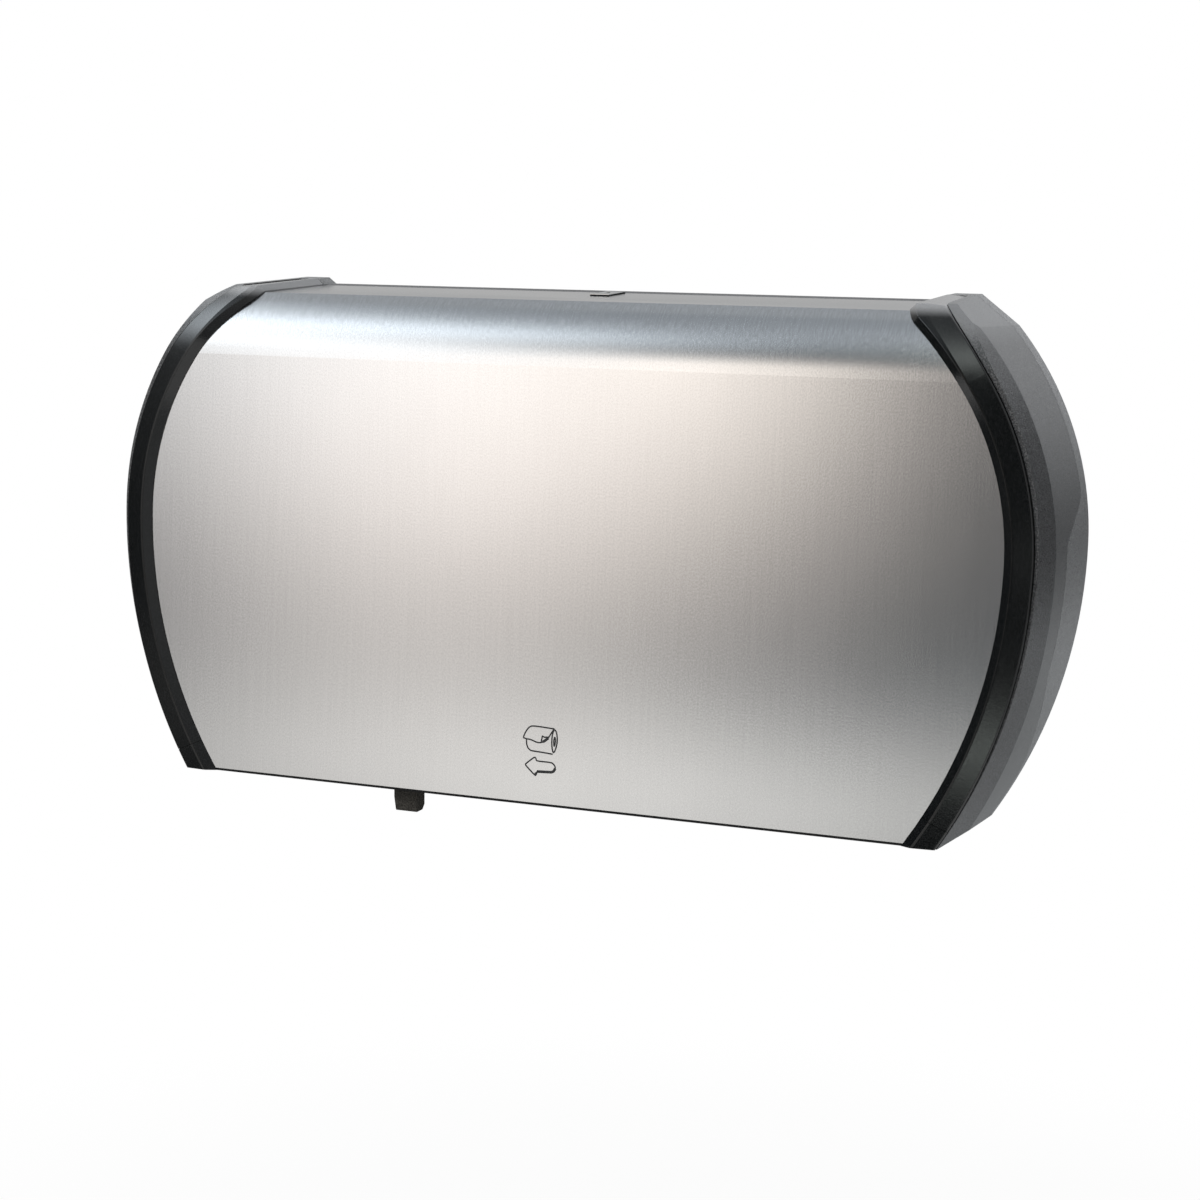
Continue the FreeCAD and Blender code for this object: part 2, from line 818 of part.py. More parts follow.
shell_back = -(dim.steel_sheet + dim.shell_wall)
shell_layer = across("ShellLayer", sheet_section(-dim.steel_sheet, shell_back, dim.seam_depth, 0))
well_half = notch_half + 2
well_front = notch_front + 2
shell_notch = box("ShellNotch", -well_half, -well_front, dim.bend_height, 2 * well_half, well_front, dim.top_rise)
piece("cover_shell", cut("CoverShell", common("ShellBlank", shell_layer, shell_fit_prism), shell_notch))

lip_section = [
    face_foot(sized(0), sized(0)),
    face_foot(sized(0), dim.lip_height - 0.05),
    face_foot(-dim.steel_sheet, dim.lip_height - 0.05),
    face_foot(-dim.steel_sheet, sized(0)),
]
lip_bar = across("LipBar", lip_section)
piece("cover_lip", common("CoverLip", lip_bar, steel_prism))


# Cover: arc trims, bevelled towards the steel and leaning back outside, with separate end tips

trim_fold = round_crease("trim_fold", dim.trim_proud, dim.trim_proud, dim.crease_round)
trim_layer = across("TrimLayer", sheet_section(dim.trim_proud, -dim.steel_sheet, dim.seam_depth, 0, trim_fold))
trim_ring = cut("TrimRing", common("TrimBand", trim_layer, trim_prism), trim_inner_prism)
tip_line = -(steel_drop - dim.tip_height)
tip_start = half_width(dim.trim_bevel, tip_line)


def tip_loop(gap, far):
    # one side of the slanting seam across both trims, reaching to a far level
    middle = tip_line + tip_start * dim.tip_slope + gap
    outer = middle - extrude_half * dim.tip_slope
    return [(-extrude_half, far), (extrude_half, far), (extrude_half, outer), (0, middle), (-extrude_half, outer)]


above_tip = through("AboveTip", tip_loop(dim.tip_gap, block_height), block_depth, -0.1 * block_depth)
below_tip = through("BelowTip", tip_loop(0, -block_height), block_depth, -0.1 * block_depth)
doc.recompute()

bevelled = doc.addObject("Part::Chamfer", "TrimBevel")
bevelled.Base = trim_ring
bevel = dim.trim_bevel.value
overlap = dim.trim_overlap.value
inner_edges = edges_along(trim_ring.Shape, -overlap, dim.trim_proud.value)
bevelled.Edges = [(number, bevel + overlap, bevel) for number in inner_edges]
doc.recompute()
# a wide shallow chamfer from near the crest to the outer edge gives the face its lean
leaned = doc.addObject("Part::Chamfer", "TrimLean")
leaned.Base = bevelled
lean = dim.trim_lean.value
run = 0.9 * (dim.trim_width.value - bevel)
outer_edges = edges_along(bevelled.Shape, dim.trim_width.value, dim.trim_proud.value)
leaned.Edges = [(number, run, lean) for number in outer_edges]
doc.recompute()
rounded = doc.addObject("Part::Fillet", "TrimRound")
rounded.Base = leaned
low_edges = edges_along(leaned.Shape, dim.trim_width.value, dim.trim_proud.value - lean, 0.4 * lean)
crest_edges = edges_along(leaned.Shape, bevel, dim.trim_proud.value)
radii = [(low_edges, dim.trim_round.value), (crest_edges, dim.trim_crest.value)]
rounded.Edges = [(number, radius, radius) for numbers, radius in radii for number in numbers]
doc.recompute()

for side, half in (("left", left_half), ("right", right_half)):
    piece("trim_" + side, common("Trim" + side.title(), rounded, half, above_tip))
    piece("trim_tip_" + side, common("TrimTip" + side.title(), rounded, half, below_tip))


# Cover cheeks: faceted side walls with a flange under the trim and a knuckle at the hinge

cheek_fold = round_crease("cheek_fold", dim.cheek_front_proud, dim.cheek_proud, dim.crease_round)
cheek_block = across("CheekBlock", block_section(dim.cheek_front_proud, 0, dim.cheek_proud, cheek_fold))
seat_block = across("SeatBlock", block_section(-dim.steel_sheet, 12))
cavity_block = across("CavityBlock", block_section(shell_back, 12))
housing_cavity_block = across("HousingCavityBlock", block_section(-dim.rail_top_wall, 12))
cover_seam = seam_block("CoverSeam", sized(0), True)
housing_seam = seam_block("HousingSeam", dim.seam_gap, False)

outer_block = cut("OuterBlock", common("OuterSolid", outer_envelope, cheek_block, corner_block), keel("Keel"))
cheek_cavity = common("CheekCavity", inner_envelope, cavity_block, inner_corner_block)
trim_seat = cut("TrimSeat", groove_prism, seat_block)
cheek_ring = cut("CheekRing", outer_block, cheek_cavity, trim_seat, shell_prism, cover_seam)

knuckle_start = bracket_half + dim.bracket_wall + 0.5
knuckle_length = extrude_half - knuckle_start
pin_start = bracket_half + 0.5
pin_length = dim.bracket_wall + dim.hinge_pin_bite
hole_length = pin_length + 0.5
for side, sign, half in (("left", -1, left_half), ("right", 1, right_half)):
    title = side.title()
    axis = Vector(sign, 0, 0)
    knuckle = rod("Knuckle" + title, axis, sign * knuckle_start, -dim.hinge_depth, hinge_height,
                  dim.knuckle_radius, knuckle_length)
    knuckle_inside = common("KnuckleInside" + title, knuckle, outer_block)
    wall = common("CheekWall" + title, cheek_ring, half)
    pin_hole = rod("PinHole" + title, axis, sign * pin_start, -dim.hinge_depth, hinge_height,
                   dim.hinge_pin_radius + dim.hinge_play, hole_length)
    cheek_body = fused("CheekBody" + title, wall, knuckle_inside)
    piece("cheek_" + side, cut("Cheek" + title, cheek_body, pin_hole))


# Housing: side walls with the forward ear, back plate, top rail

housing_cavity = common("HousingCavity", inner_envelope, housing_cavity_block, inner_corner_block)
housing_ring = common("HousingRing", cut("HousingShell", outer_block, housing_cavity), housing_seam)
rail_half = shoulder_half - dim.rail_inset
rail_cut = box("RailCut", -rail_half, -block_depth, -block_height, 2 * rail_half, 1.1 * block_depth, 2 * block_height)

# the housing's top edge is bevelled towards the middle, in line with the trims
rim_low = top_height(sized(0), dim.seam_depth)
rim_step = rim_low + dim.trim_proud - dim.trim_bevel
rim_half = shoulder_half - dim.trim_overlap
rim_reach = rim_half + 2 * (dim.trim_bevel + dim.trim_overlap)
rim_prism = through("RimPrism", [
    (-rim_half, rim_low),
    (rim_half, rim_low),
    (rim_half, rim_step),
    (rim_reach, rim_step + 2 * dim.trim_bevel),
    (-rim_reach, rim_step + 2 * dim.trim_bevel),
    (-rim_half, rim_step),
], 2 * dim.seam_depth, -dim.seam_depth)
rim_block = across("RimBlock", [
    (-2 * dim.seam_depth, top_height(sized(0), 2 * dim.seam_depth)),
    (dim.seam_depth, top_height(sized(0), -dim.seam_depth)),
    (dim.seam_depth, 2 * dim.top_rise),
    (-2 * dim.seam_depth, 2 * dim.top_rise),
])
housing_sides = cut("HousingSides", housing_ring, rail_cut, common("RimCut", rim_prism, rim_block))
for side, half in (("left", left_half), ("right", right_half)):
    piece("housing_side_" + side, common("HousingSide" + side.title(), housing_sides, half))

rail_front = dim.seam_depth - dim.seam_gap
rail_section = [
    (-rail_front, top_height(-dim.rail_top_wall, rail_front)),
    (0, top_height(-dim.rail_top_wall, sized(0))),
    (0, dim.top_rise),
    (-rail_front, top_height(sized(0), rail_front)),
]
rail_fit = rail_half - dim.fit_gap
piece("top_rail", across("TopRail", rail_section, rail_fit))

plate_offset = dim.housing_offset - dim.side_wall - dim.fit_gap
plate_prism = through("PlatePrism", outline_loop(plate_offset), dim.plate_wall)
plate_top = top_height(-dim.rail_top_wall, dim.plate_wall) - dim.fit_gap
plate_height = plate_top + dim.housing_drop
plate_span = box("PlateSpan", -extrude_half, -dim.plate_wall, -dim.housing_drop,
                 2 * extrude_half, dim.plate_wall, plate_height)
plate_corner = through("PlateCorner", corner_loop(dim.side_wall + dim.fit_gap), 20, -5)
plate_blank = common("PlateBlank", plate_prism, plate_span, plate_corner)
foot_depth = dim.hinge_depth - dim.knuckle_radius - dim.knuckle_clear
foot_section = [
    (-dim.plate_wall, underside(-dim.plate_wall)),
    (-foot_depth, underside(-foot_depth)),
    (-foot_depth, underside(-foot_depth) + dim.side_wall),
    (-dim.plate_wall, underside(-dim.plate_wall) + dim.side_wall),
]
plate_foot = across("PlateFoot", foot_section, half_width(plate_offset, -dim.housing_drop) - dim.rail_inset)
holes = []
bosses = []
for number, (column, level) in enumerate(((-1, -1), (1, -1), (1, 1), (-1, 1))):
    hole_x = column * dim.hole_spacing_wide / 2
    hole_z = level * dim.hole_spacing_high / 2
    bosses.append(rod("WallBoss%d" % number, Vector(0, -1, 0), hole_x, -dim.plate_wall, hole_z,
                      dim.boss_radius, dim.boss_height))
    holes.append(rod("WallHole%d" % number, Vector(0, -1, 0), hole_x, 5, hole_z,
                     dim.hole_radius, dim.plate_wall + dim.boss_height + 10))
plate_solid = fused("PlateSolid", plate_blank, plate_foot, *bosses)


# Spindles: flanged post, turning hub with core fins, end cap and screws

post_face = dim.plate_wall + dim.spindle_flange_wall
shoulder_depth = post_face + dim.spindle_shoulder_rise
hub_back = shoulder_depth + dim.hub_end_play
post_end = dim.plate_wall + dim.spindle_length + dim.spindle_flange_wall
hub_front = post_end - dim.hub_end_play
screw_angles = [90, 210, 330]
hub_length = hub_front - hub_back


def flange_screws(spindle_x):
    places = []
    for angle in screw_angles:
        turn = math.radians(angle)
        places.append((spindle_x + dim.screw_circle * math.cos(turn), dim.screw_circle * math.sin(turn)))
    return places


screw_holes = []
screws = []
for side, sign in (("left", -1), ("right", 1)):
    title = side.title()
    spindle_x = sign * spindle_half

    post = new_body("spindle_post_" + side)
    shift(post, x=spindle_x)
    half_section = [
        (0, dim.plate_wall),
        (dim.spindle_flange_radius, dim.plate_wall),
        (dim.spindle_flange_radius, post_face),
        (dim.spindle_shoulder, post_face),
        (dim.spindle_shoulder, shoulder_depth),
        (dim.spindle_radius, shoulder_depth),
        (dim.spindle_radius, post_end),
        (0, post_end),
    ]
    turned = body_sketch(post, "PostSection" + title, "XY_Plane", [(x, -sized(y)) for x, y in half_section])
    revolve = post.newObject("PartDesign::Revolution", "PostTurned" + title)
    revolve.Profile = turned
    revolve.ReferenceAxis = (turned, ["V_Axis"])
    revolve.Angle = 360
    doc.recompute()
    drill = body_sketch(post, "PostHoles" + title, "XZ_Plane", offset=dim.plate_wall)
    for angle in screw_angles:
        turn = math.radians(angle)
        draw_circle(drill, dim.screw_circle * math.cos(turn), dim.screw_circle * math.sin(turn), dim.screw_shank)
    feature(post, "Pocket", "PostDrilled" + title, drill, dim.spindle_flange_wall + 1, reverse=True)
    bore = body_sketch(post, "PostBore" + title, "XZ_Plane", offset=post_end)
    draw_circle(bore, 0, 0, dim.screw_shank)
    feature(post, "Pocket", "PostTapped" + title, bore, dim.cap_screw_length * 1.2)

    hub = new_body("hub_" + side)
    shift(hub, x=spindle_x)
    disc = body_sketch(hub, "HubDisc" + title, "XZ_Plane", offset=hub_back)
    draw_circle(disc, 0, 0, dim.hub_disc_radius)
    feature(hub, "Pad", "HubDiscPad" + title, disc, dim.hub_disc_wall)
    sleeve = body_sketch(hub, "HubSleeve" + title, "XZ_Plane", offset=hub_back)
    draw_circle(sleeve, 0, 0, dim.hub_radius)
    feature(hub, "Pad", "HubSleevePad" + title, sleeve, hub_length)
    drum = body_sketch(hub, "HubDrum" + title, "XZ_Plane", offset=hub_back)
    draw_circle(drum, 0, 0, dim.core_radius)
    draw_circle(drum, 0, 0, dim.core_radius - dim.core_wall)
    feature(hub, "Pad", "HubDrumPad" + title, drum, dim.core_length)
    spoke = body_sketch(hub, "HubSpoke" + title, "XZ_Plane", offset=hub_back, corners=rectangle(
        dim.spindle_radius + 1.5, -dim.spoke_wall / 2, dim.core_radius - dim.core_wall / 2, dim.spoke_wall / 2))
    spoke_pad = feature(hub, "Pad", "HubSpokePad" + title, spoke, dim.core_length - 6)
    spokes = hub.newObject("PartDesign::PolarPattern", "HubSpokes" + title)
    spokes.Originals = [spoke_pad]
    spokes.Axis = (spoke, ["N_Axis"])
    spokes.Angle = 360
    bind(spokes, "Occurrences", dim.spoke_count)
    hub.Tip = spokes
    doc.recompute()
    bearing = body_sketch(hub, "HubBore" + title, "XZ_Plane", offset=hub_back)
    draw_circle(bearing, 0, 0, dim.spindle_radius + dim.hub_play)
    feature(hub, "Pocket", "HubBored" + title, bearing, hub_length + 2, reverse=True)

    cap = new_body("spindle_cap_" + side)
    shift(cap, x=spindle_x)
    cap_face = body_sketch(cap, "CapFace" + title, "XZ_Plane", offset=post_end)
    draw_circle(cap_face, 0, 0, dim.cap_radius)
    cap_pad = feature(cap, "Pad", "CapPad" + title, cap_face, dim.cap_wall)
    front_edges = ["Edge%d" % (number + 1) for number, edge in enumerate(cap_pad.Shape.Edges)
                   if abs(edge.CenterOfMass.y + post_end.value + dim.cap_wall.value) < 0.01]
    cap_round = cap.newObject("PartDesign::Fillet", "CapRound" + title)
    cap_round.Base = (cap_pad, front_edges)
    bind(cap_round, "Radius", dim.cap_round)
    doc.recompute()
    cap_hole = body_sketch(cap, "CapHole" + title, "XZ_Plane", offset=post_end)
    draw_circle(cap_hole, 0, 0, dim.screw_shank)
    feature(cap, "Pocket", "CapDrilled" + title, cap_hole, dim.cap_wall + 1, reverse=True)

    for number, (screw_x, screw_z) in enumerate(flange_screws(spindle_x)):
        tag = "%s%d" % (title, number)
        screw_holes.append(rod("PlateHole" + tag, Vector(0, -1, 0), screw_x, 1, screw_z,
                               dim.screw_shank, dim.plate_wall + 2))
        shank = rod("Shank" + tag, Vector(0, -1, 0), screw_x, -0.5, screw_z,
                    dim.screw_shank, post_face - 0.5)
        head = rod("Head" + tag, Vector(0, -1, 0), screw_x, -post_face, screw_z,
                   dim.screw_head, dim.screw_head_height)
        screws.append(fused("FlangeScrew" + tag, shank, head))

cap_screws = []
for side, sign in (("Left", -1), ("Right", 1)):
    cap_outside = post_end + dim.cap_wall
    shank = rod("CapShank" + side, Vector(0, -1, 0), sign * spindle_half,
                -(post_end - dim.cap_screw_length), 0, dim.screw_shank, dim.cap_wall + dim.cap_screw_length)
    head = rod("CapHead" + side, Vector(0, -1, 0), sign * spindle_half, -cap_outside, 0,
               dim.screw_head, dim.screw_head_height)
    cap_screws.append(fused("CapScrew" + side, shank, head))

compound = doc.addObject("Part::Compound", "SpindleScrews")
compound.Links = screws
piece("spindle_screws", compound)
compound = doc.addObject("Part::Compound", "CapScrews")
compound.Links = cap_screws
piece("cap_screws", compound)


# Hinge brackets on the back plate, with the pins pressed into them

bracket_back = dim.plate_wall
bracket_low = larger(underside(-foot_depth), underside(-dim.plate_wall)) + dim.side_wall + dim.fit_gap
bracket_high = hinge_height + dim.knuckle_radius + dim.bracket_over
pins = []
bracket_screws = []
for side, sign in (("left", -1), ("right", 1)):
    title = side.title()
    start = bracket_half if sign > 0 else -(bracket_half + dim.bracket_wall)
    arm = box("BracketArm" + title, start, -dim.bracket_reach, bracket_low,
              dim.bracket_wall, dim.bracket_reach - bracket_back, bracket_high - bracket_low)
    foot_start = bracket_half - dim.bracket_foot if sign > 0 else -bracket_half
    foot_low = shelf_under + dim.shelf_wall + dim.fit_gap
    foot = box("BracketFoot" + title, foot_start, -(bracket_back + dim.bracket_wall), foot_low,
               dim.bracket_foot, dim.bracket_wall, dim.bracket_foot_height)
    neck = box("BracketNeck" + title, start, -(bracket_back + dim.bracket_wall), bracket_low,
               dim.bracket_wall, dim.bracket_wall, foot_low + dim.bracket_foot_height - bracket_low)
    eye = rod("BracketEye" + title, Vector(sign, 0, 0), sign * (bracket_half - 1),
              -dim.hinge_depth, hinge_height, dim.hinge_pin_radius, dim.bracket_wall + 2)
    screw_x = sign * (bracket_half - dim.bracket_foot / 2)
    screw_z = foot_low + dim.bracket_foot_height / 2
    screw_holes.append(rod("BracketPlateHole" + title, Vector(0, -1, 0), screw_x, 1, screw_z,
                           dim.screw_shank, dim.plate_wall + 2))
    foot_hole = rod("BracketHole" + title, Vector(0, -1, 0), screw_x, -1, screw_z,
                    dim.screw_shank, dim.plate_wall + dim.bracket_wall + 2)
    piece("hinge_bracket_" + side, cut("HingeBracket" + title,
                                       fused("BracketBody" + title, arm, foot, neck), eye, foot_hole))
    pins.append(rod("HingePin" + title, Vector(sign, 0, 0), sign * (bracket_half + 0.2),
                    -dim.hinge_depth, hinge_height, dim.hinge_pin_radius, pin_length - 0.2))
    shank = rod("BracketShank" + title, Vector(0, -1, 0), screw_x, -0.5, screw_z,
                dim.screw_shank, bracket_back + dim.bracket_wall - 0.5)
    head = rod("BracketHead" + title, Vector(0, -1, 0), screw_x, -(bracket_back + dim.bracket_wall), screw_z,
               dim.screw_head, dim.screw_head_height)
    bracket_screws.append(fused("BracketScrew" + title, shank, head))
compound = doc.addObject("Part::Compound", "HingePins")
compound.Links = pins
piece("hinge_pins", compound)
compound = doc.addObject("Part::Compound", "BracketScrews")
compound.Links = bracket_screws
piece("bracket_screws", compound)
piece("back_plate", cut("BackPlate", plate_solid, *(holes + screw_holes)))


# Floor of the housing: a shelf with two paper exits

shelf = new_body("shelf")
shelf_half = bracket_half - 0.2
blank = body_sketch(shelf, "ShelfOutline", "XY_Plane", offset=shelf_under, corners=rectangle(
    -shelf_half, -shelf_front, shelf_half, -dim.plate_wall))
feature(shelf, "Pad", "ShelfPad", blank, dim.shelf_wall)
exits = body_sketch(shelf, "ShelfExits", "XY_Plane", offset=shelf_under)
exit_front = -(shelf_front - dim.exit_front_rim)
exit_back = -(dim.plate_wall + dim.exit_back_rim)
draw_loop(exits, rectangle(dim.exit_inner, exit_front, exit_outer, exit_back))
draw_loop(exits, rectangle(-exit_outer, exit_front, -dim.exit_inner, exit_back))
feature(shelf, "Pocket", "ShelfExitsCut", exits, dim.shelf_wall + 1, reverse=True)


# Rails under the shelf: L sections that carry the shutter, closed by stops at both ends

strip_line = exit_outer + dim.shutter_overlap + 1
slot_height = dim.shutter_wall + 2 * dim.shutter_play
foot_top = shelf_under - slot_height
foot_low = foot_top - dim.rail_foot
rail_length_half = strip_line + dim.rail_stop


def rail_section_front():
    outer = -(shelf_front)
    return [
        (outer, shelf_under),
        (outer, foot_low),
        (outer + dim.rail_web + dim.rail_lap, foot_low),
        (outer + dim.rail_web + dim.rail_lap, foot_top),
        (outer + dim.rail_web, foot_top),
        (outer + dim.rail_web, shelf_under),
    ]


def rail_section_back():
    outer = -(dim.plate_wall + 0.3)
    return [
        (outer, shelf_under),
        (outer - dim.rail_web, shelf_under),
        (outer - dim.rail_web, foot_top),
        (outer - dim.rail_web - dim.rail_lap, foot_top),
        (outer - dim.rail_web - dim.rail_lap, foot_low),
        (outer, foot_low),
    ]


for name, section in (("shutter_rail_front", rail_section_front()), ("shutter_rail_back", rail_section_back())):
    rail = new_body(name)
    rail_sketch = body_sketch(rail, name + "_section", "YZ_Plane", section)
    feature(rail, "Pad", name + "_run", rail_sketch, 2 * rail_length_half, midplane=True)
    depths = [corner[0] for corner in section]
    near = min(depths, key=lambda size: size.value)
    far = max(depths, key=lambda size: size.value)
    for sign, tag in ((-1, "low"), (1, "high")):
        inner = sign * strip_line
        outer = sign * rail_length_half
        edges = sorted([inner, outer], key=lambda size: size.value)
        stop = body_sketch(rail, name + "_stop_" + tag, "XY_Plane", offset=foot_low, corners=rectangle(
            edges[0], near, edges[1], far))
        feature(rail, "Pad", name + "_stopped_" + tag, stop, shelf_under - foot_low)


# Shutter: a sliding plate with its pull handle below the cover's front edge

shutter_length = dim.exit_width + 2 * dim.shutter_overlap
shutter_middle = -(dim.exit_inner + dim.exit_width / 2)
shutter_top = shelf_under - dim.shutter_play
shutter_low = shutter_top - dim.shutter_wall
shutter_front = -(shelf_front - dim.rail_web - dim.shutter_play)
shutter_back = -(dim.plate_wall + 0.3 + dim.rail_web + dim.shutter_play)
shutter = new_body("shutter_plate")
shift(shutter, x=shutter_middle)
plate_sketch = body_sketch(shutter, "ShutterOutline", "XY_Plane", offset=shutter_low, corners=rectangle(
    -shutter_length / 2, shutter_front, shutter_length / 2, shutter_back))
feature(shutter, "Pad", "ShutterPad", plate_sketch, dim.shutter_wall)

handle = new_body("shutter_handle")
shift(handle, x=shutter_middle - dim.handle_aside)
handle_front = -(shelf_front - dim.rail_web - dim.rail_lap - 2 * dim.shutter_play)
handle_back = handle_front + dim.handle_depth
handle_low = -(steel_drop + dim.handle_reach)
handle_section = [
    (handle_front, shutter_low),
    (handle_front, handle_low + dim.handle_chamfer * 1.6),
    (handle_front + dim.handle_chamfer * 0.45, handle_low),
    (handle_back - dim.handle_chamfer * 0.6, handle_low),
    (handle_back, handle_low + dim.handle_chamfer * 0.6),
    (handle_back, shutter_low),
]
handle_sketch = body_sketch(handle, "HandleSection", "YZ_Plane", handle_section)
handle_pad = feature(handle, "Pad", "HandlePad", handle_sketch, dim.handle_width, midplane=True)
upright = []
for number, edge in enumerate(handle_pad.Shape.Edges, start=1):
    low, high = edge.BoundBox.ZMin, edge.BoundBox.ZMax
    if edge.BoundBox.XLength < 0.01 and high < shutter_low.value - 0.01:
        upright.append("Edge%d" % number)
handle_round = handle.newObject("PartDesign::Fillet", "HandleRound")
handle_round.Base = (handle_pad, [name for name in upright])
bind(handle_round, "Radius", dim.handle_round)
doc.recompute()


# Toothed tear strips beside the paper exits

exit_run = exit_back - exit_front
tooth_count = int(exit_run.value // dim.tooth_pitch.value)
for side, sign in (("left", -1), ("right", 1)):
    title = side.title()
    strip = new_body("tear_strip_" + side)
    near = sign * (strip_line + dim.rail_stop + 0.3)
    inner = near
    leg = sign * dim.strip_wall
    foot = sign * dim.strip_foot
    low = shelf_under - dim.strip_drop
    section = [
        (inner, low),
        (inner + leg, low),
        (inner + leg, shelf_under - dim.strip_wall),
        (inner + foot, shelf_under - dim.strip_wall),
        (inner + foot, shelf_under),
        (inner, shelf_under),
    ]
    strip_sketch = body_sketch(strip, "StripSection" + title, "XZ_Plane", section, offset=-exit_back)
    feature(strip, "Pad", "StripPad" + title, strip_sketch, exit_run)
    tooth = body_sketch(strip, "Tooth" + title, "YZ_Plane", [
        (exit_front, low - 0.01),
        (exit_front + dim.tooth_pitch, low - 0.01),
        (exit_front + dim.tooth_pitch / 2, low + dim.tooth_depth),
    ])
    notch = feature(strip, "Pocket", "ToothCut" + title, tooth, 2 * extrude_half, midplane=True)
    teeth = strip.newObject("PartDesign::LinearPattern", "Teeth" + title)
    teeth.Originals = [notch]
    teeth.Direction = (tooth, ["H_Axis"])
    bind(teeth, "Length", dim.tooth_pitch * (tooth_count - 1))
    teeth.Occurrences = tooth_count
    strip.Tip = teeth
    doc.recompute()


# Latch: a hooked lever just proud of the top, its bracket, pin and spring, and the strike

pin_y = -dim.latch_pin_depth
pin_z = top_height(sized(0), dim.latch_pin_depth) - dim.latch_pin_drop
lever_rear = dim.seam_depth + 0.3
tongue_top = top_height(-dim.latch_tongue_drop, dim.strike_depth)
tongue_low = tongue_top - dim.latch_tongue_wall
barb_front = -(dim.strike_depth - dim.strike_play)
lever_section = [
    (-dim.latch_front_depth, top_height(-dim.latch_wall, dim.latch_front_depth)),
    (-dim.latch_front_depth, top_height(dim.latch_proud, dim.latch_front_depth)),
    (-lever_rear, top_height(dim.latch_proud, lever_rear)),
    (-lever_rear, tongue_top),
    (barb_front, tongue_top),
    (barb_front, tongue_top + dim.latch_barb),
    (barb_front + 1, tongue_top + dim.latch_barb),
    (barb_front + 3, tongue_top + dim.latch_barb - 2),
    (barb_front + 3, tongue_low),
    (-lever_rear - dim.latch_wall, tongue_low),
    (-lever_rear - dim.latch_wall, top_height(-dim.latch_wall, lever_rear + dim.latch_wall)),
]
lever = new_body("latch_lever")
lever_sketch = body_sketch(lever, "LeverSection", "YZ_Plane", lever_section)
feature(lever, "Pad", "LeverPad", lever_sketch, dim.latch_width, midplane=True)
boss = body_sketch(lever, "LeverBoss", "YZ_Plane")
draw_circle(boss, pin_y, pin_z, dim.latch_boss_radius)
feature(lever, "Pad", "LeverBossPad", boss, dim.latch_width - 5, midplane=True)
web = body_sketch(lever, "LeverWeb", "YZ_Plane", rectangle(
    pin_y - 1.4, pin_z, pin_y + 1.4, top_height(sized(0), dim.latch_pin_depth) - 0.5))
feature(lever, "Pad", "LeverWebPad", web, dim.latch_width - 5, midplane=True)
eye = body_sketch(lever, "LeverEye", "YZ_Plane")
draw_circle(eye, pin_y, pin_z, dim.latch_pin_radius + dim.latch_play)
feature(lever, "Pocket", "LeverEyeCut", eye, dim.latch_width + 2, midplane=True)
slot = body_sketch(lever, "LeverKeySlot", "XY_Plane", offset=dim.top_rise + 5, corners=rectangle(
    -1, -(dim.seam_depth + 15), 1, -(dim.seam_depth + 8)))
feature(lever, "Pocket", "LeverKeySlotCut", slot, 9)

ear_inner = dim.latch_width / 2 + dim.latch_gap
ear_outer = ear_inner + 1.5
wing_front = dim.latch_pin_depth + 6
wing_back = dim.latch_pin_depth - 6
wing_section = [
    (-wing_front, top_height(shell_back, wing_front)),
    (-wing_back, top_height(shell_back, wing_back)),
    (-wing_back, top_height(shell_back - 1.5, wing_back)),
    (-wing_front, top_height(shell_back - 1.5, wing_front)),
]
cheek_section = [
    (-wing_front, top_height(shell_back, wing_front)),
    (-wing_back, top_height(shell_back, wing_back)),
    (-wing_back, pin_z - 3.5),
    (-wing_front, pin_z - 3.5),
]
bracket_parts = []
for sign, tag in ((-1, "Left"), (1, "Right")):
    wing_start = ear_inner if sign > 0 else -(ear_outer + 10)
    bracket_parts.append(across("LatchWing" + tag, wing_section, ear_outer + 10 - ear_inner, wing_start))
    ear_start = ear_inner if sign > 0 else -ear_outer
    bracket_parts.append(across("LatchEar" + tag, cheek_section, ear_outer - ear_inner, ear_start))
floor_section = [
    (-wing_front, pin_z - 5),
    (-wing_back, pin_z - 5),
    (-wing_back, pin_z - 3.5),
    (-wing_front, pin_z - 3.5),
]
bracket_parts.append(across("LatchFloor", floor_section, ear_outer))
latch_bore = rod("LatchBore", Vector(1, 0, 0), -20, pin_y, pin_z, dim.latch_pin_radius, 40)
piece("latch_bracket", cut("LatchBracket", fused("LatchBracketBody", *bracket_parts), latch_bore))
piece("latch_pin", rod("LatchPin", Vector(1, 0, 0), -(ear_outer + 0.5), pin_y, pin_z,
                       dim.latch_pin_radius, 2 * ear_outer + 1))
boss_half = (dim.latch_width - 5) / 2
spring_length = ear_inner - boss_half - 0.4
spring_parts = []
for sign, tag in ((-1, "Left"), (1, "Right")):
    spring_start = boss_half + 0.2
    outer = rod("SpringOuter" + tag, Vector(sign, 0, 0), sign * spring_start, pin_y, pin_z,
                dim.latch_boss_radius - 0.2, spring_length)
    inner = rod("SpringInner" + tag, Vector(sign, 0, 0), sign * (spring_start - 1), pin_y, pin_z,
                dim.latch_pin_radius + 0.15, spring_length + 2)
    spring_parts.append(cut("Spring" + tag, outer, inner))
compound = doc.addObject("Part::Compound", "LatchSprings")
compound.Links = spring_parts
piece("latch_springs", compound)

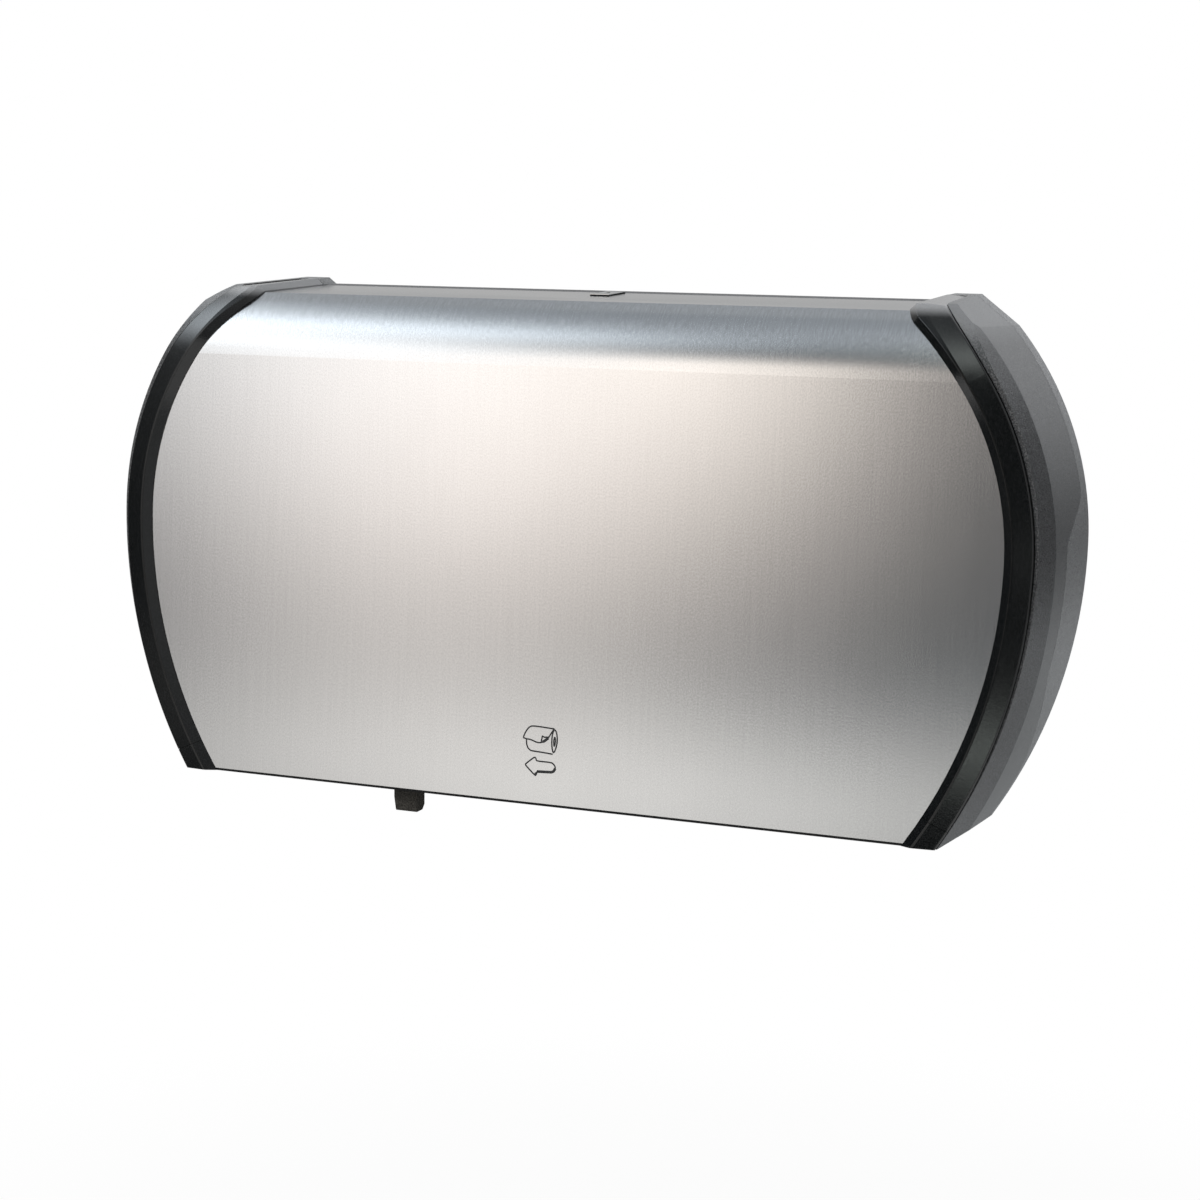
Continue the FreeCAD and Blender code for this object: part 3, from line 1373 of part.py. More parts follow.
strike_front = -dim.strike_depth - dim.strike_wall
strike_back = -dim.strike_depth
strike_top = top_height(-dim.rail_top_wall, dim.strike_depth + dim.strike_wall)
strike_section = [
    (strike_front, tongue_top + dim.strike_clear),
    (strike_back, tongue_top + dim.strike_clear),
    (strike_back, top_height(-dim.rail_top_wall - dim.strike_wall, dim.strike_depth)),
    (-dim.plate_wall - dim.fit_gap, top_height(-dim.rail_top_wall - dim.strike_wall, dim.plate_wall + dim.fit_gap)),
    (-dim.plate_wall - dim.fit_gap, top_height(-dim.rail_top_wall, dim.plate_wall + dim.fit_gap)),
    (strike_front, strike_top),
]
piece("latch_strike", across("LatchStrike", strike_section, dim.strike_half))


# Cover stiffener under the rear edge of the shell, open in the middle for the latch

stiff_back = dim.seam_depth + dim.stiff_setback
stiff_front = stiff_back + dim.stiff_reach
stiff_section = [
    (-stiff_front, top_height(shell_back, stiff_front)),
    (-stiff_back, top_height(shell_back, stiff_back)),
    (-stiff_back, top_height(shell_back - dim.stiff_drop, stiff_back)),
    (-stiff_back - dim.stiff_wall, top_height(shell_back - dim.stiff_drop, stiff_back + dim.stiff_wall)),
    (-stiff_back - dim.stiff_wall, top_height(shell_back - dim.stiff_wall, stiff_back + dim.stiff_wall)),
    (-stiff_front, top_height(shell_back - dim.stiff_wall, stiff_front)),
]
stiff_half = shoulder_half - dim.stiff_inset
stiff_bar = across("StiffBar", stiff_section, stiff_half)
stiff_gap = box("StiffGap", -well_half, -block_depth, 0, 2 * well_half, block_depth, block_height)
piece("cover_stiffener", cut("CoverStiffener", stiff_bar, stiff_gap))


# Recompute, check and write

doc.recompute()
failures = []
for thing in doc.Objects:
    if "Invalid" in thing.State or "Error" in thing.State:
        failures.append("%s (%s) is %s" % (thing.Name, thing.Label, thing.State))
for name, thing in PIECES.items():
    if thing.Shape.isNull() or not thing.Shape.isValid() or not thing.Shape.Solids:
        failures.append("%s has no valid solid" % name)
if failures:
    raise RuntimeError("\n".join(failures))

os.makedirs("parts", exist_ok=True)
for name, thing in PIECES.items():
    thing.Shape.exportStep("parts/%s.step" % name)
    bounds = thing.Shape.BoundBox
    print("%-22s solids %d  volume %9.1f  x %7.1f %7.1f  y %7.1f %7.1f  z %7.1f %7.1f" % (
        name, len(thing.Shape.Solids), thing.Shape.Volume,
        bounds.XMin, bounds.XMax, bounds.YMin, bounds.YMax, bounds.ZMin, bounds.ZMax))
print("%d pieces" % len(PIECES))
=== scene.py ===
import math

import bmesh
import bpy
from mathutils import Matrix, Vector


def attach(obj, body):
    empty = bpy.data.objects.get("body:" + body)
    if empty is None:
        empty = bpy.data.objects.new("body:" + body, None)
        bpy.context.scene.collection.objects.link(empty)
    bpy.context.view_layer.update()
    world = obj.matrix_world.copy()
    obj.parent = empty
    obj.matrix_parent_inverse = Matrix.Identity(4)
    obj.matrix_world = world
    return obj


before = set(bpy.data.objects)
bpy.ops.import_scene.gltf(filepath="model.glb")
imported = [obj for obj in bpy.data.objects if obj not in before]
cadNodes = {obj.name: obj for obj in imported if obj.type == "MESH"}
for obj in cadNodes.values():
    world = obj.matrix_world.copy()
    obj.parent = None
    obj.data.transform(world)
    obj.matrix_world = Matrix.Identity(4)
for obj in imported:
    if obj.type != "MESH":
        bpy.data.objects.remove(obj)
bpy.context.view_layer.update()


# Shader writing: sockets that add up as expressions

class Wire:
    def __init__(self, finish, socket):
        self.finish = finish
        self.socket = socket

    def maths(self, operation, first, second=0.0):
        return self.finish.add("ShaderNodeMath", {"operation": operation}, {0: first, 1: second})

    def __add__(self, other):
        return self.maths("ADD", self, other)

    __radd__ = __add__

    def __sub__(self, other):
        return self.maths("SUBTRACT", self, other)

    def __rsub__(self, other):
        return self.maths("SUBTRACT", other, self)

    def __mul__(self, other):
        return self.maths("MULTIPLY", self, other)

    def __truediv__(self, other):
        return self.maths("DIVIDE", self, other)

    def __pow__(self, other):
        return self.maths("POWER", self, other)

    def most(self, other):
        return self.maths("MAXIMUM", self, other)

    def bell(self):  # 1 at nought, falling away as it grows
        return self.maths("EXPONENT", self.maths("MULTIPLY", self, -1.0))

    def step(self, low, high):  # smooth 0 to 1 between two values
        return self.finish.add(
            "ShaderNodeMapRange", {"interpolation_type": "SMOOTHSTEP"},
            {"Value": self, "From Min": low, "From Max": high, "To Min": 0.0, "To Max": 1.0})


class Finish:
    def __init__(self, name, tree=None):
        self.material = None
        if tree is None:
            self.material = bpy.data.materials.new(name)
            self.material.use_nodes = True
            tree = self.material.node_tree
        self.tree = tree
        tree.nodes.clear()
        self.place = None

    def add(self, kind, settings=None, inputs=None, output=0):
        node = self.tree.nodes.new(kind)
        for key, value in (settings or {}).items():
            setattr(node, key, value)
        for key, value in (inputs or {}).items():
            socket = node.inputs[key]
            if isinstance(value, Wire):
                self.tree.links.new(value.socket, socket)
            else:
                socket.default_value = value
        return Wire(self, node.outputs[output]) if node.outputs else None

    def axes(self):  # object coordinates in metres, as three wires
        if self.place is None:
            self.place = self.add("ShaderNodeTexCoord", output="Object")
        split = self.add("ShaderNodeSeparateXYZ", inputs={0: self.place}).socket.node
        return [Wire(self, split.outputs[letter]) for letter in "XYZ"]

    def vector(self, x, y, z):
        return self.add("ShaderNodeCombineXYZ", inputs={0: x, 1: y, 2: z})

    def noise(self, vector, scale, detail=2.0, rough=0.5):
        return self.add("ShaderNodeTexNoise", inputs={
            "Vector": vector, "Scale": scale, "Detail": detail, "Roughness": rough})

    def cells(self, vector, scale, output="Distance"):
        inputs = {"Vector": vector, "Scale": scale}
        return self.add("ShaderNodeTexVoronoi", inputs=inputs, output=output)

    def blend(self, factor, first, second):
        mix = self.add("ShaderNodeMix", {"data_type": "RGBA"}, {"Factor": factor}).socket.node
        for number, value in ((6, first), (7, second)):
            if isinstance(value, Wire):
                self.tree.links.new(value.socket, mix.inputs[number])
            else:
                mix.inputs[number].default_value = (*value, 1.0)
        return Wire(self, mix.outputs[2])

    def gather(self, operation, first, second, key=1):  # Vector Math on two colours
        inputs = {0: first, key: second}
        return self.add("ShaderNodeVectorMath", {"operation": operation}, inputs)

    def bump(self, height, strength, distance):
        return self.add("ShaderNodeBump", inputs={
            "Height": height, "Strength": strength, "Distance": distance})

    def glow(self, color):
        return self.add("ShaderNodeEmission", inputs={"Color": color, "Strength": 1.0})

    def shine(self, shader):
        self.add("ShaderNodeOutputMaterial", inputs={"Surface": shader})
        return self.material

    def surface(self, inputs):
        return self.shine(self.add("ShaderNodeBsdfPrincipled", inputs=inputs))


def dress(name, material):
    mesh = cadNodes[name].data
    mesh.materials.clear()
    mesh.materials.append(material)


def placeMesh(bm, meshName, name):
    mesh = bpy.data.meshes.new(meshName)
    bm.to_mesh(mesh)
    bm.free()
    piece = bpy.data.objects.new(name, mesh)
    bpy.context.scene.collection.objects.link(piece)
    return piece


# Steel: a fine grain with faint lines that run up the face, round the bend and back over the top

steel = {
    "base": (0.76, 0.76, 0.76),
    "dark": (0.685, 0.685, 0.685),
    "roughness": 0.20,
    "roughnessSpread": 0.05,
    "anisotropic": 0.5,
    "grainBump": 0.06,
    "smudge": 0.03,
    "smudgeScale": 16.0,
    # noise turns in a metre, across the brush lines and along them, and a shift
    "grain": (1250.0, 950.0, 0.0),
    "streak": (900.0, 22.0, 3.7),
    "streakShare": 0.21,
    "stripLean": 0.3,  # of the lines on the tear strips
    "contrast": (0.32, 0.68),
    "bumpDepth": 0.0002,
}


def brushedSteel(name, look, across=0):
    finish = Finish(name)
    axes = finish.axes()
    side = axes[across]
    along = axes[2] - axes[1] if across == 0 else axes[1] + axes[2] * look["stripLean"]

    def brushed(sideways, lengthways, shift):
        place = finish.vector(side * sideways, along * lengthways, shift)
        return finish.noise(place, 1.0, 1.0)

    grain = brushed(*look["grain"])
    streak = brushed(*look["streak"])
    smudge = finish.noise(finish.place, look["smudgeScale"], 3.0, 0.55)
    lines = grain * (1.0 - look["streakShare"]) + streak * look["streakShare"]
    color = finish.blend(lines.step(*look["contrast"]), look["dark"], look["base"])
    rough = look["roughness"] + (lines - 0.5) * look["roughnessSpread"]
    rough = rough + (smudge - 0.5) * look["smudge"]
    return finish.surface({
        "Base Color": color,
        "Metallic": 1.0,
        "Roughness": rough,
        "Anisotropic": look["anisotropic"],
        "Normal": finish.bump(lines, look["grainBump"], look["bumpDepth"]),
    })


# Moulded plastics: a spark-eroded grain of fine pits, a slow change of tone, light specks, and on
# the
# tops a painted sheen: a paler colour that stands for the light falling on the upper faces, fading
# in between two given heights

mould = {
    "fleckScale": 0.8,  # shares of the grain's scale
    "saltScale": 1.15,
    "slowScale": 9.0,
    "fleckTone": 0.25,
    "fleckRelief": 0.4,
    "toneSteps": (0.36, 0.62),
    "slowSteps": (0.35, 0.7),
    "saltSteps": (0.48, 0.68),
    # how much of the painted top sheen shows at least, and how much the pits add to it
    "paintedSheenLeast": 0.7,
    "paintedSheenPits": 0.6,
    "slowRoughness": 0.06,
    "bumpDepth": 0.0003,
}


def mouldedPlastic(name, look):
    finish = Finish(name)
    height = finish.axes()[2]
    pits = finish.noise(finish.place, look["grain"], 2.0, 0.6)
    flecks = finish.cells(finish.place, look["grain"] * mould["fleckScale"])
    slow = finish.noise(finish.place, mould["slowScale"], 3.0)
    tone = pits * (1.0 - mould["fleckTone"]) + flecks * mould["fleckTone"]
    relief = pits * (1.0 - mould["fleckRelief"]) + flecks * mould["fleckRelief"]
    color = finish.blend(tone.step(*mould["toneSteps"]), look["dark"], look["base"])
    cloud = slow.step(*mould["slowSteps"]) * look["cloud"]
    color = finish.blend(cloud, color, look["dust"])
    if "speck" in look:
        salt = finish.noise(finish.place, look["grain"] * mould["saltScale"], 0.0)
        color = finish.blend(salt.step(*mould["saltSteps"]), color, look["speck"])
    # painted light: the upper faces turn paler between two heights, a painted sheen for the lamps'
    # light on the tops, broken up by the pits
    if "paintedSheen" in look:
        cover = mould["paintedSheenLeast"] + pits * mould["paintedSheenPits"]
        cover = height.step(*look["paintedSheenFrom"]) * cover
        color = finish.blend(cover, color, look["paintedSheen"])
    rough = look["roughness"] + (pits - 0.5) * look["roughnessSpread"]
    rough = rough + (slow - 0.5) * mould["slowRoughness"]
    return finish.surface({
        "Base Color": color,
        "Roughness": rough,
        "Specular IOR Level": look["gloss"],
        "Normal": finish.bump(relief, look["bump"], mould["bumpDepth"]),
    })


plastics = {
    "trim": {
        "base": (0.0036, 0.004, 0.0038), "dark": (0.0012, 0.0014, 0.0013),
        "dust": (0.006, 0.007, 0.0065), "speck": (0.009, 0.0092, 0.0095),
        # the trim's pale top is a painted sheen, standing for the light that falls on it
        "paintedSheen": (0.215, 0.218, 0.223), "paintedSheenFrom": (0.1265, 0.1328),
        "grain": 1500.0, "bump": 0.08, "roughness": 0.13, "roughnessSpread": 0.14,
        "cloud": 0.3, "gloss": 0.5,
    },
    "cheek": {
        "base": (0.044, 0.045, 0.0465), "dark": (0.014, 0.015, 0.016),
        "dust": (0.050, 0.051, 0.053), "speck": (0.105, 0.107, 0.111),
        # the cheek's paler top is a painted sheen, standing for the light that falls on it
        "paintedSheen": (0.140, 0.143, 0.147), "paintedSheenFrom": (0.110, 0.129),
        "grain": 1350.0, "bump": 0.4, "roughness": 0.32, "roughnessSpread": 0.34,
        "cloud": 0.25, "gloss": 0.5,
    },
    "housing": {
        "base": (0.130, 0.133, 0.137), "dark": (0.045, 0.047, 0.050),
        "dust": (0.140, 0.143, 0.147), "speck": (0.27, 0.274, 0.281),
        "grain": 1350.0, "bump": 0.4, "roughness": 0.32, "roughnessSpread": 0.34,
        "cloud": 0.25, "gloss": 0.5,
    },
    "lip": {
        "base": (0.006, 0.006, 0.0065), "dark": (0.003, 0.003, 0.003),
        "dust": (0.008, 0.008, 0.009),
        "grain": 1500.0, "bump": 0.2, "roughness": 0.6, "roughnessSpread": 0.1, "cloud": 0.2,
        "gloss": 0.2,
    },
    "rail": {
        "base": (0.10, 0.10, 0.103), "dark": (0.06, 0.06, 0.062), "dust": (0.13, 0.13, 0.135),
        "grain": 1300.0, "bump": 0.3, "roughness": 0.55, "roughnessSpread": 0.12,
        "cloud": 0.25, "gloss": 0.4,
    },
    "shell": {
        "base": (0.024, 0.0245, 0.026), "dark": (0.013, 0.013, 0.014),
        "dust": (0.04, 0.041, 0.043),
        "grain": 1100.0, "bump": 0.3, "roughness": 0.52, "roughnessSpread": 0.14,
        "cloud": 0.35, "gloss": 0.45,
    },
    "floor": {
        "base": (0.030, 0.0305, 0.032), "dark": (0.018, 0.018, 0.019),
        "dust": (0.055, 0.055, 0.055),
        "grain": 1100.0, "bump": 0.3, "roughness": 0.5, "roughnessSpread": 0.14, "cloud": 0.4,
        "gloss": 0.45,
    },
    "shutter": {
        "base": (0.050, 0.051, 0.053), "dark": (0.032, 0.033, 0.034),
        "dust": (0.075, 0.076, 0.078),
        "grain": 1200.0, "bump": 0.3, "roughness": 0.45, "roughnessSpread": 0.14, "cloud": 0.3,
        "gloss": 0.5,
    },
    "tab": {
        "base": (0.052, 0.049, 0.043), "dark": (0.008, 0.0075, 0.007),
        "dust": (0.06, 0.056, 0.05),
        "grain": 1400.0, "bump": 0.6, "roughness": 0.8, "roughnessSpread": 0.14, "cloud": 0.3,
        "gloss": 0.08,
    },
    "hub": {
        "base": (0.42, 0.43, 0.44), "dark": (0.34, 0.35, 0.36), "dust": (0.50, 0.50, 0.50),
        "grain": 900.0, "bump": 0.12, "roughness": 0.36, "roughnessSpread": 0.10, "cloud": 0.3,
        "gloss": 0.5,
    },
}
plasticOf = {
    "trim": ["trim_left", "trim_right", "trim_tip_left", "trim_tip_right"],
    "cheek": ["cheek_left", "cheek_right"],
    "housing": ["housing_side_left", "housing_side_right"],
    "rail": ["top_rail", "back_plate"],
    "shell": ["cover_shell"],
    "lip": ["cover_lip"],
    "floor": ["shelf", "shutter_rail_front", "shutter_rail_back",
              "spindle_cap_left", "spindle_cap_right"],
    "shutter": ["shutter_plate"],
    "tab": ["shutter_handle"],
    "hub": ["hub_left", "hub_right"],
}
for kind, names in plasticOf.items():
    material = mouldedPlastic(kind + "Plastic", plastics[kind])
    for name in names:
        dress(name, material)
print("plastics done")


# Metals behind the cover: zinc plate with its cloudy crystals, ground pins, stamped strips

plate = {
    "fineScale": 700.0,
    "cloudScale": 60.0,
    "shares": (0.35, 0.3, 0.35),  # of crystals, fine grain and clouds
    "toneSteps": (0.25, 0.75),
    "roughnessSpread": 0.25,
    "bump": 0.12,
    "bumpDepth": 0.0002,
}


def platedSteel(name, look):
    finish = Finish(name)
    finish.axes()
    crystals = finish.cells(finish.place, look["crystal"], "Color")
    value = finish.add("ShaderNodeSeparateColor", inputs={0: crystals})
    fine = finish.noise(finish.place, plate["fineScale"], 3.0, 0.6)
    cloud = finish.noise(finish.place, plate["cloudScale"], 3.0, 0.55)
    ofCrystals, ofFine, ofClouds = plate["shares"]
    tone = value * ofCrystals + fine * ofFine + cloud * ofClouds
    color = finish.blend(tone.step(*plate["toneSteps"]), look["dark"], look["base"])
    return finish.surface({
        "Base Color": color,
        "Metallic": 1.0,
        "Roughness": look["roughness"] + (tone - 0.5) * plate["roughnessSpread"],
        "Normal": finish.bump(fine, plate["bump"], plate["bumpDepth"]),
    })


zinc = platedSteel("zincPlate", {
    "base": (0.66, 0.67, 0.70), "dark": (0.48, 0.49, 0.52),
    "roughness": 0.36, "crystal": 260.0,
})
for name in ("spindle_post_left", "spindle_post_right", "hinge_bracket_left", "hinge_bracket_right",
             "latch_bracket", "latch_strike", "cover_stiffener"):
    dress(name, zinc)
screwSteel = platedSteel("screwSteel", {
    "base": (0.74, 0.74, 0.76), "dark": (0.58, 0.58, 0.60),
    "roughness": 0.28, "crystal": 900.0,
})
for name in ("spindle_screws", "cap_screws", "bracket_screws", "hinge_pins",
             "latch_pin", "latch_springs"):
    dress(name, screwSteel)
dress("steel_panel", brushedSteel("brushedPanel", steel))
stamped = brushedSteel("stampedStrip", steel, across=1)
for name in ("tear_strip_left", "tear_strip_right"):
    dress(name, stamped)

latchLook = {
    "metal": (0.78, 0.78, 0.77),
    "worn": (0.70, 0.70, 0.69),
    "body": (0.006, 0.006, 0.007),
    "roughness": 0.30,
    "bodyRoughness": 0.4,  # on top of the metal's
    "roughnessSpread": 0.1,
    "gloss": 0.2,
    "grain": (1700, 900, 900),
    "grainSteps": (0.35, 0.65),
    "bump": 0.08,
    "bumpDepth": 0.0002,
    "top": 0.1344,  # height of the lever's top where y is nought
    "fall": 0.0463,  # towards the front
    "sheet": 0.0002,  # depth of the metal
    "soft": 0.00005,
}


def latchFinish(look):  # a metal face on a black moulding, told apart by the height below the face
    finish = Finish("latchMetal")
    x, y, z = finish.axes()
    above = z - y * look["fall"] - (look["top"] - look["sheet"])
    capped = above.step(-look["soft"], look["soft"])
    turns = [axis * scale for axis, scale in zip((x, y, z), look["grain"])]
    grain = finish.noise(finish.vector(*turns), 1.0)
    metal = finish.blend(grain.step(*look["grainSteps"]), look["worn"], look["metal"])
    rough = look["roughness"] + (1.0 - capped) * look["bodyRoughness"]
    rough = rough + (grain - 0.5) * look["roughnessSpread"]
    return finish.surface({
        "Base Color": finish.blend(capped, look["body"], metal),
        "Metallic": capped,
        "Roughness": rough,
        "Specular IOR Level": look["gloss"],
        "Normal": finish.bump(grain, look["bump"], look["bumpDepth"]),
    })


dress("latch_lever", latchFinish(latchLook))
print("metals done")


# Printed sign near the lower edge: a roll with its loose sheet and an arrow towards the open side

sign = {
    "thin": 0.80,
    "thick": 1.5,
    "lift": 0.03,
    "film": 0.06,
    # the leaning face in millimetres: its run for each unit of height, and where its lower end is
    "faceRun": 0.0507,
    "faceDepth": 114.3,
    "faceDrop": 134.6,
    "millimetre": 0.001,
    "weld": 1e-6,
    "ink": (0.006, 0.006, 0.007),
    "paleInk": (0.03, 0.03, 0.032),
    "speckleScale": 2200.0,
    "speckleSteps": (0.3, 0.8),
    "roughness": 0.42,
    "roughnessSpread": 0.12,
    "bump": 0.2,
    "bumpDepth": 0.0001,
}
# width, closed or open, and points (across, up) in millimetres
signLines = [
    ("thin", False, [
        (-10.7, -99.2), (-10.0, -97.0), (-8.6, -94.6), (-7.1, -93.0), (-5.6, -92.4),
        (0.7, -92.6), (7.0, -93.0)]),
    ("thin", False, [
        (-10.7, -99.2), (-9.3, -99.6), (-6.4, -99.8), (-4.4, -100.5), (-2.6, -101.1),
        (-0.4, -101.0), (1.8, -99.9), (3.8, -97.8), (5.2, -95.5), (6.2, -93.8), (7.0, -93.0)]),
    ("thin", False, [
        (-0.4, -100.9), (0.2, -97.4), (0.2, -97.4), (1.4, -97.9), (1.4, -97.9), (4.2, -97.6)]),
    ("thick", False, [
        (0.6, -100.5), (2.3, -99.3), (3.6, -98.1)]),
    ("thin", False, [
        (-8.8, -99.8), (-8.8, -102.0), (-8.1, -104.0), (-7.0, -105.2), (-5.8, -105.8),
        (0.4, -106.0), (6.4, -106.5)]),
    ("thin", True, [
        (7.1, -93.0), (8.3, -94.9), (8.9, -98.7), (8.4, -102.6), (6.8, -106.5), (5.8, -102.8),
        (5.6, -99.0), (6.0, -95.1)]),
    ("thin", True, [
        (7.3, -97.0), (7.8, -98.8), (7.6, -100.8), (7.1, -102.6), (6.8, -100.8), (6.8, -98.8)]),
    ("thin", True, [
        (-9.0, -113.4), (-8.6, -112.8), (-4.4, -109.3), (-3.7, -109.0), (-3.1, -109.5),
        (-2.9, -110.3), (-2.4, -111.0), (5.6, -110.9), (7.0, -111.6), (8.0, -112.8),
        (8.2, -113.9), (7.7, -115.2), (6.8, -115.9), (-2.3, -116.4), (-2.5, -117.6),
        (-3.0, -118.6), (-3.8, -118.3), (-8.5, -114.1)]),
    ("thick", False, [
        (8.1, -113.9), (7.6, -115.1), (6.8, -115.9), (5.6, -116.2), (-2.2, -116.5)]),
    ("thick", False, [
        (-2.6, -117.2), (-2.9, -118.3), (-3.4, -118.5)]),
]


def inkLine(name, width, closed, points):
    curve = bpy.data.curves.new(name, "CURVE")
    curve.dimensions = "3D"
    curve.bevel_depth = sign[width] / 2
    curve.bevel_resolution = 2
    curve.resolution_u = 6
    curve.use_fill_caps = not closed
    spline = curve.splines.new("NURBS")
    spline.points.add(len(points) - 1)
    for point, (x, z) in zip(spline.points, points):
        point.co = (x, z, 0.0, 1.0)
    spline.order_u = 3
    spline.use_endpoint_u = not closed
    spline.use_cyclic_u = closed
    holder = bpy.data.objects.new(name + "Curve", curve)
    bpy.context.scene.collection.objects.link(holder)
    shaped = holder.evaluated_get(bpy.context.evaluated_depsgraph_get())
    mesh = bpy.data.meshes.new_from_object(shaped)
    bpy.data.objects.remove(holder)
    return mesh


def printedSign():
    bm = bmesh.new()
    for number, (width, closed, points) in enumerate(signLines):
        mesh = inkLine("ink%d" % number, width, closed, points)
        bm.from_mesh(mesh)
        bpy.data.meshes.remove(mesh)
    bmesh.ops.scale(bm, verts=bm.verts, vec=(1.0, 1.0, sign["film"] / sign["thick"]))
    bmesh.ops.translate(bm, verts=bm.verts, vec=(0.0, 0.0, sign["lift"]))
    lean = math.atan(sign["faceRun"])
    turn = Matrix.Rotation(math.pi / 2 - lean, 4, "X")
    stretch = 1.0 / math.cos(lean)
    bmesh.ops.scale(bm, verts=bm.verts, vec=(1.0, stretch, 1.0))
    bmesh.ops.transform(bm, matrix=turn, verts=bm.verts)
    shift = -sign["faceDepth"] + sign["faceDrop"] * sign["faceRun"]
    bmesh.ops.translate(bm, verts=bm.verts, vec=(0.0, shift, 0.0))
    bmesh.ops.scale(bm, verts=bm.verts, vec=(sign["millimetre"],) * 3)
    bmesh.ops.remove_doubles(bm, verts=bm.verts, dist=sign["weld"])
    bmesh.ops.recalc_face_normals(bm, faces=bm.faces)
    piece = placeMesh(bm, "printedSign", "printed_sign")
    finish = Finish("signInk")
    finish.axes()
    speckle = finish.noise(finish.place, sign["speckleScale"], 2.0, 0.6)
    tone = speckle.step(*sign["speckleSteps"])
    piece.data.materials.append(finish.surface({
        "Base Color": finish.blend(tone, sign["ink"], sign["paleInk"]),
        "Roughness": sign["roughness"] + speckle * sign["roughnessSpread"],
        "Normal": finish.bump(speckle, sign["bump"], sign["bumpDepth"]),
    }))
    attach(piece, "cover")


printedSign()
print("sign done")


# Stage: pale floor, white surround and a soft studio that only glossy rays meet

white = (1.0, 1.0, 1.0, 1.0)
floorLook = {
    "drop": 0.62,
    "half": 9.0,
    "near": 0.5,  # the veil thickens between these distances
    "far": 1.0,
    "veil": 0.88,
    "mottleScale": 3.0,
    "tones": ((0.85, 0.85, 0.85), (0.87, 0.87, 0.87)),
}
dome = {
    "radius": 1.5,
    "front": (0.02, 0.027, 0.036),  # between the soft boxes
    "right": (0.55, 0.56, 0.57),
    "rearLow": (0.47, 0.47, 0.47),
    "rearFoot": (0.65, 0.67, 0.685),  # behind to the right, where the cheeks look
    "rearHead": (0.77, 0.78, 0.80),
    "rearToe": (0.24, 0.25, 0.26),
    "rearDip": (0.185, 0.19, 0.195),
    "sideEnds": (0.70, 0.73, 0.75),
    "sideBand": (0.085, 0.085, 0.087),
    "rearHigh": (0.365, 0.393, 0.42),
    # where one tone gives way to the next, as shares of the radius: first from left to right
    "frontToRight": (0.18, 0.6),
    "rightToSide": (0.42, 0.60),
    "lowToRight": (-0.15, 0.15),
    "highToHead": (0.0, 0.2),
    # then from behind to the front, and upwards
    "rearToFront": (-0.1, 0.15),
    "lowToHigh": (0.35, 0.85),
    "footToHead": (-0.15, 0.25),
    "toeToFoot": (-0.42, -0.22),
    "intoBand": (-0.30, -0.14),
    "outOfBand": (0.28, 0.46),
    "dipHeight": -0.09,
    "dipSpread": 0.14,
    # across and up as shares of the radius, then how wide and high each light spreads
    "boxes": [
        (-0.423, 0.037, 0.147, 0.168, (1.067, 0.947, 0.860)),
        (-0.452, 0.685, 0.185, 0.154, (0.843, 0.940, 1.034)),
        (-0.279, -0.211, 0.370, 0.079, (1.096, 1.078, 1.038)),
        (-0.163, -0.131, 0.204, 0.040, (-0.275, -0.259, -0.241)),
        (-0.043, 0.912, 0.485, 0.206, (0.320, 0.346, 0.372)),
        (-0.232, 0.194, 0.108, 0.198, (1.588, 1.440, 1.299)),
        (-0.512, 0.340, 0.185, 0.293, (1.562, 1.601, 1.628)),
        # patches that only the black trims reflect
        (0.195, -0.235, 0.09, 0.027, (3.1, 3.4, 3.2)),
        (0.12, 0.66, 0.08, 0.24, (2.6, 2.8, 2.7)),
        (0.235, -0.01, 0.05, 0.035, (0.28, 0.29, 0.28)),
        (-0.705, 0.65, 0.07, 0.22, (5.6, 6.1, 6.5)),
    ],
    "rearBoxes": [(-0.70, 0.77, 0.055, 0.12, (4.0, 4.2, 4.4))],
}
card = {
    "wide": 1.3,
    "deep": 1.2,
    "place": (0.55, 0.82, -0.45),
    "grey": (0.42, 0.435, 0.445, 1.0),
}
airLight = 0.32  # strength of the surround for rays that light the object


def whiteRays(finish):  # camera, mirror and glass rays all see the white background
    path = finish.add("ShaderNodeLightPath").socket.node
    camera, glossy, through = [Wire(finish, path.outputs[name]) for name in (
        "Is Camera Ray", "Is Glossy Ray", "Is Transmission Ray")]
    return camera.most(glossy).most(through)


def stageFloor():
    bm = bmesh.new()
    bmesh.ops.create_grid(bm, x_segments=2, y_segments=2, size=floorLook["half"])
    bmesh.ops.translate(bm, verts=bm.verts, vec=(0.0, 0.0, -floorLook["drop"]))
    floor = placeMesh(bm, "stageFloor", "stage_floor")
    finish = Finish("paleFloor")
    x, y, z = finish.axes()
    mottle = finish.noise(finish.place, floorLook["mottleScale"])
    color = finish.blend(mottle, *floorLook["tones"])
    diffuse = finish.add("ShaderNodeBsdfDiffuse", inputs={"Color": color})
    away = ((x * x + y * y) ** 0.5).step(floorLook["near"], floorLook["far"])
    veil = floorLook["veil"] + away * (1.0 - floorLook["veil"])
    mixed = finish.add("ShaderNodeMixShader", inputs={
        0: whiteRays(finish) * veil, 1: diffuse, 2: finish.glow(white)})
    floor.data.materials.append(finish.shine(mixed))


def softBoxes(finish, glow, x, z, boxes):
    for across, up, wide, high, light in boxes:
        besides = (x - across) / wide
        above = (z - up) / high
        lobe = (besides * besides + above * above).bell()
        glow = finish.gather("ADD", glow, finish.gather("SCALE", light, lobe, "Scale"))
    return glow


def glossyOnly(piece):
    piece.visible_camera = False
    piece.visible_diffuse = False
    piece.visible_shadow = False
    piece.visible_transmission = False


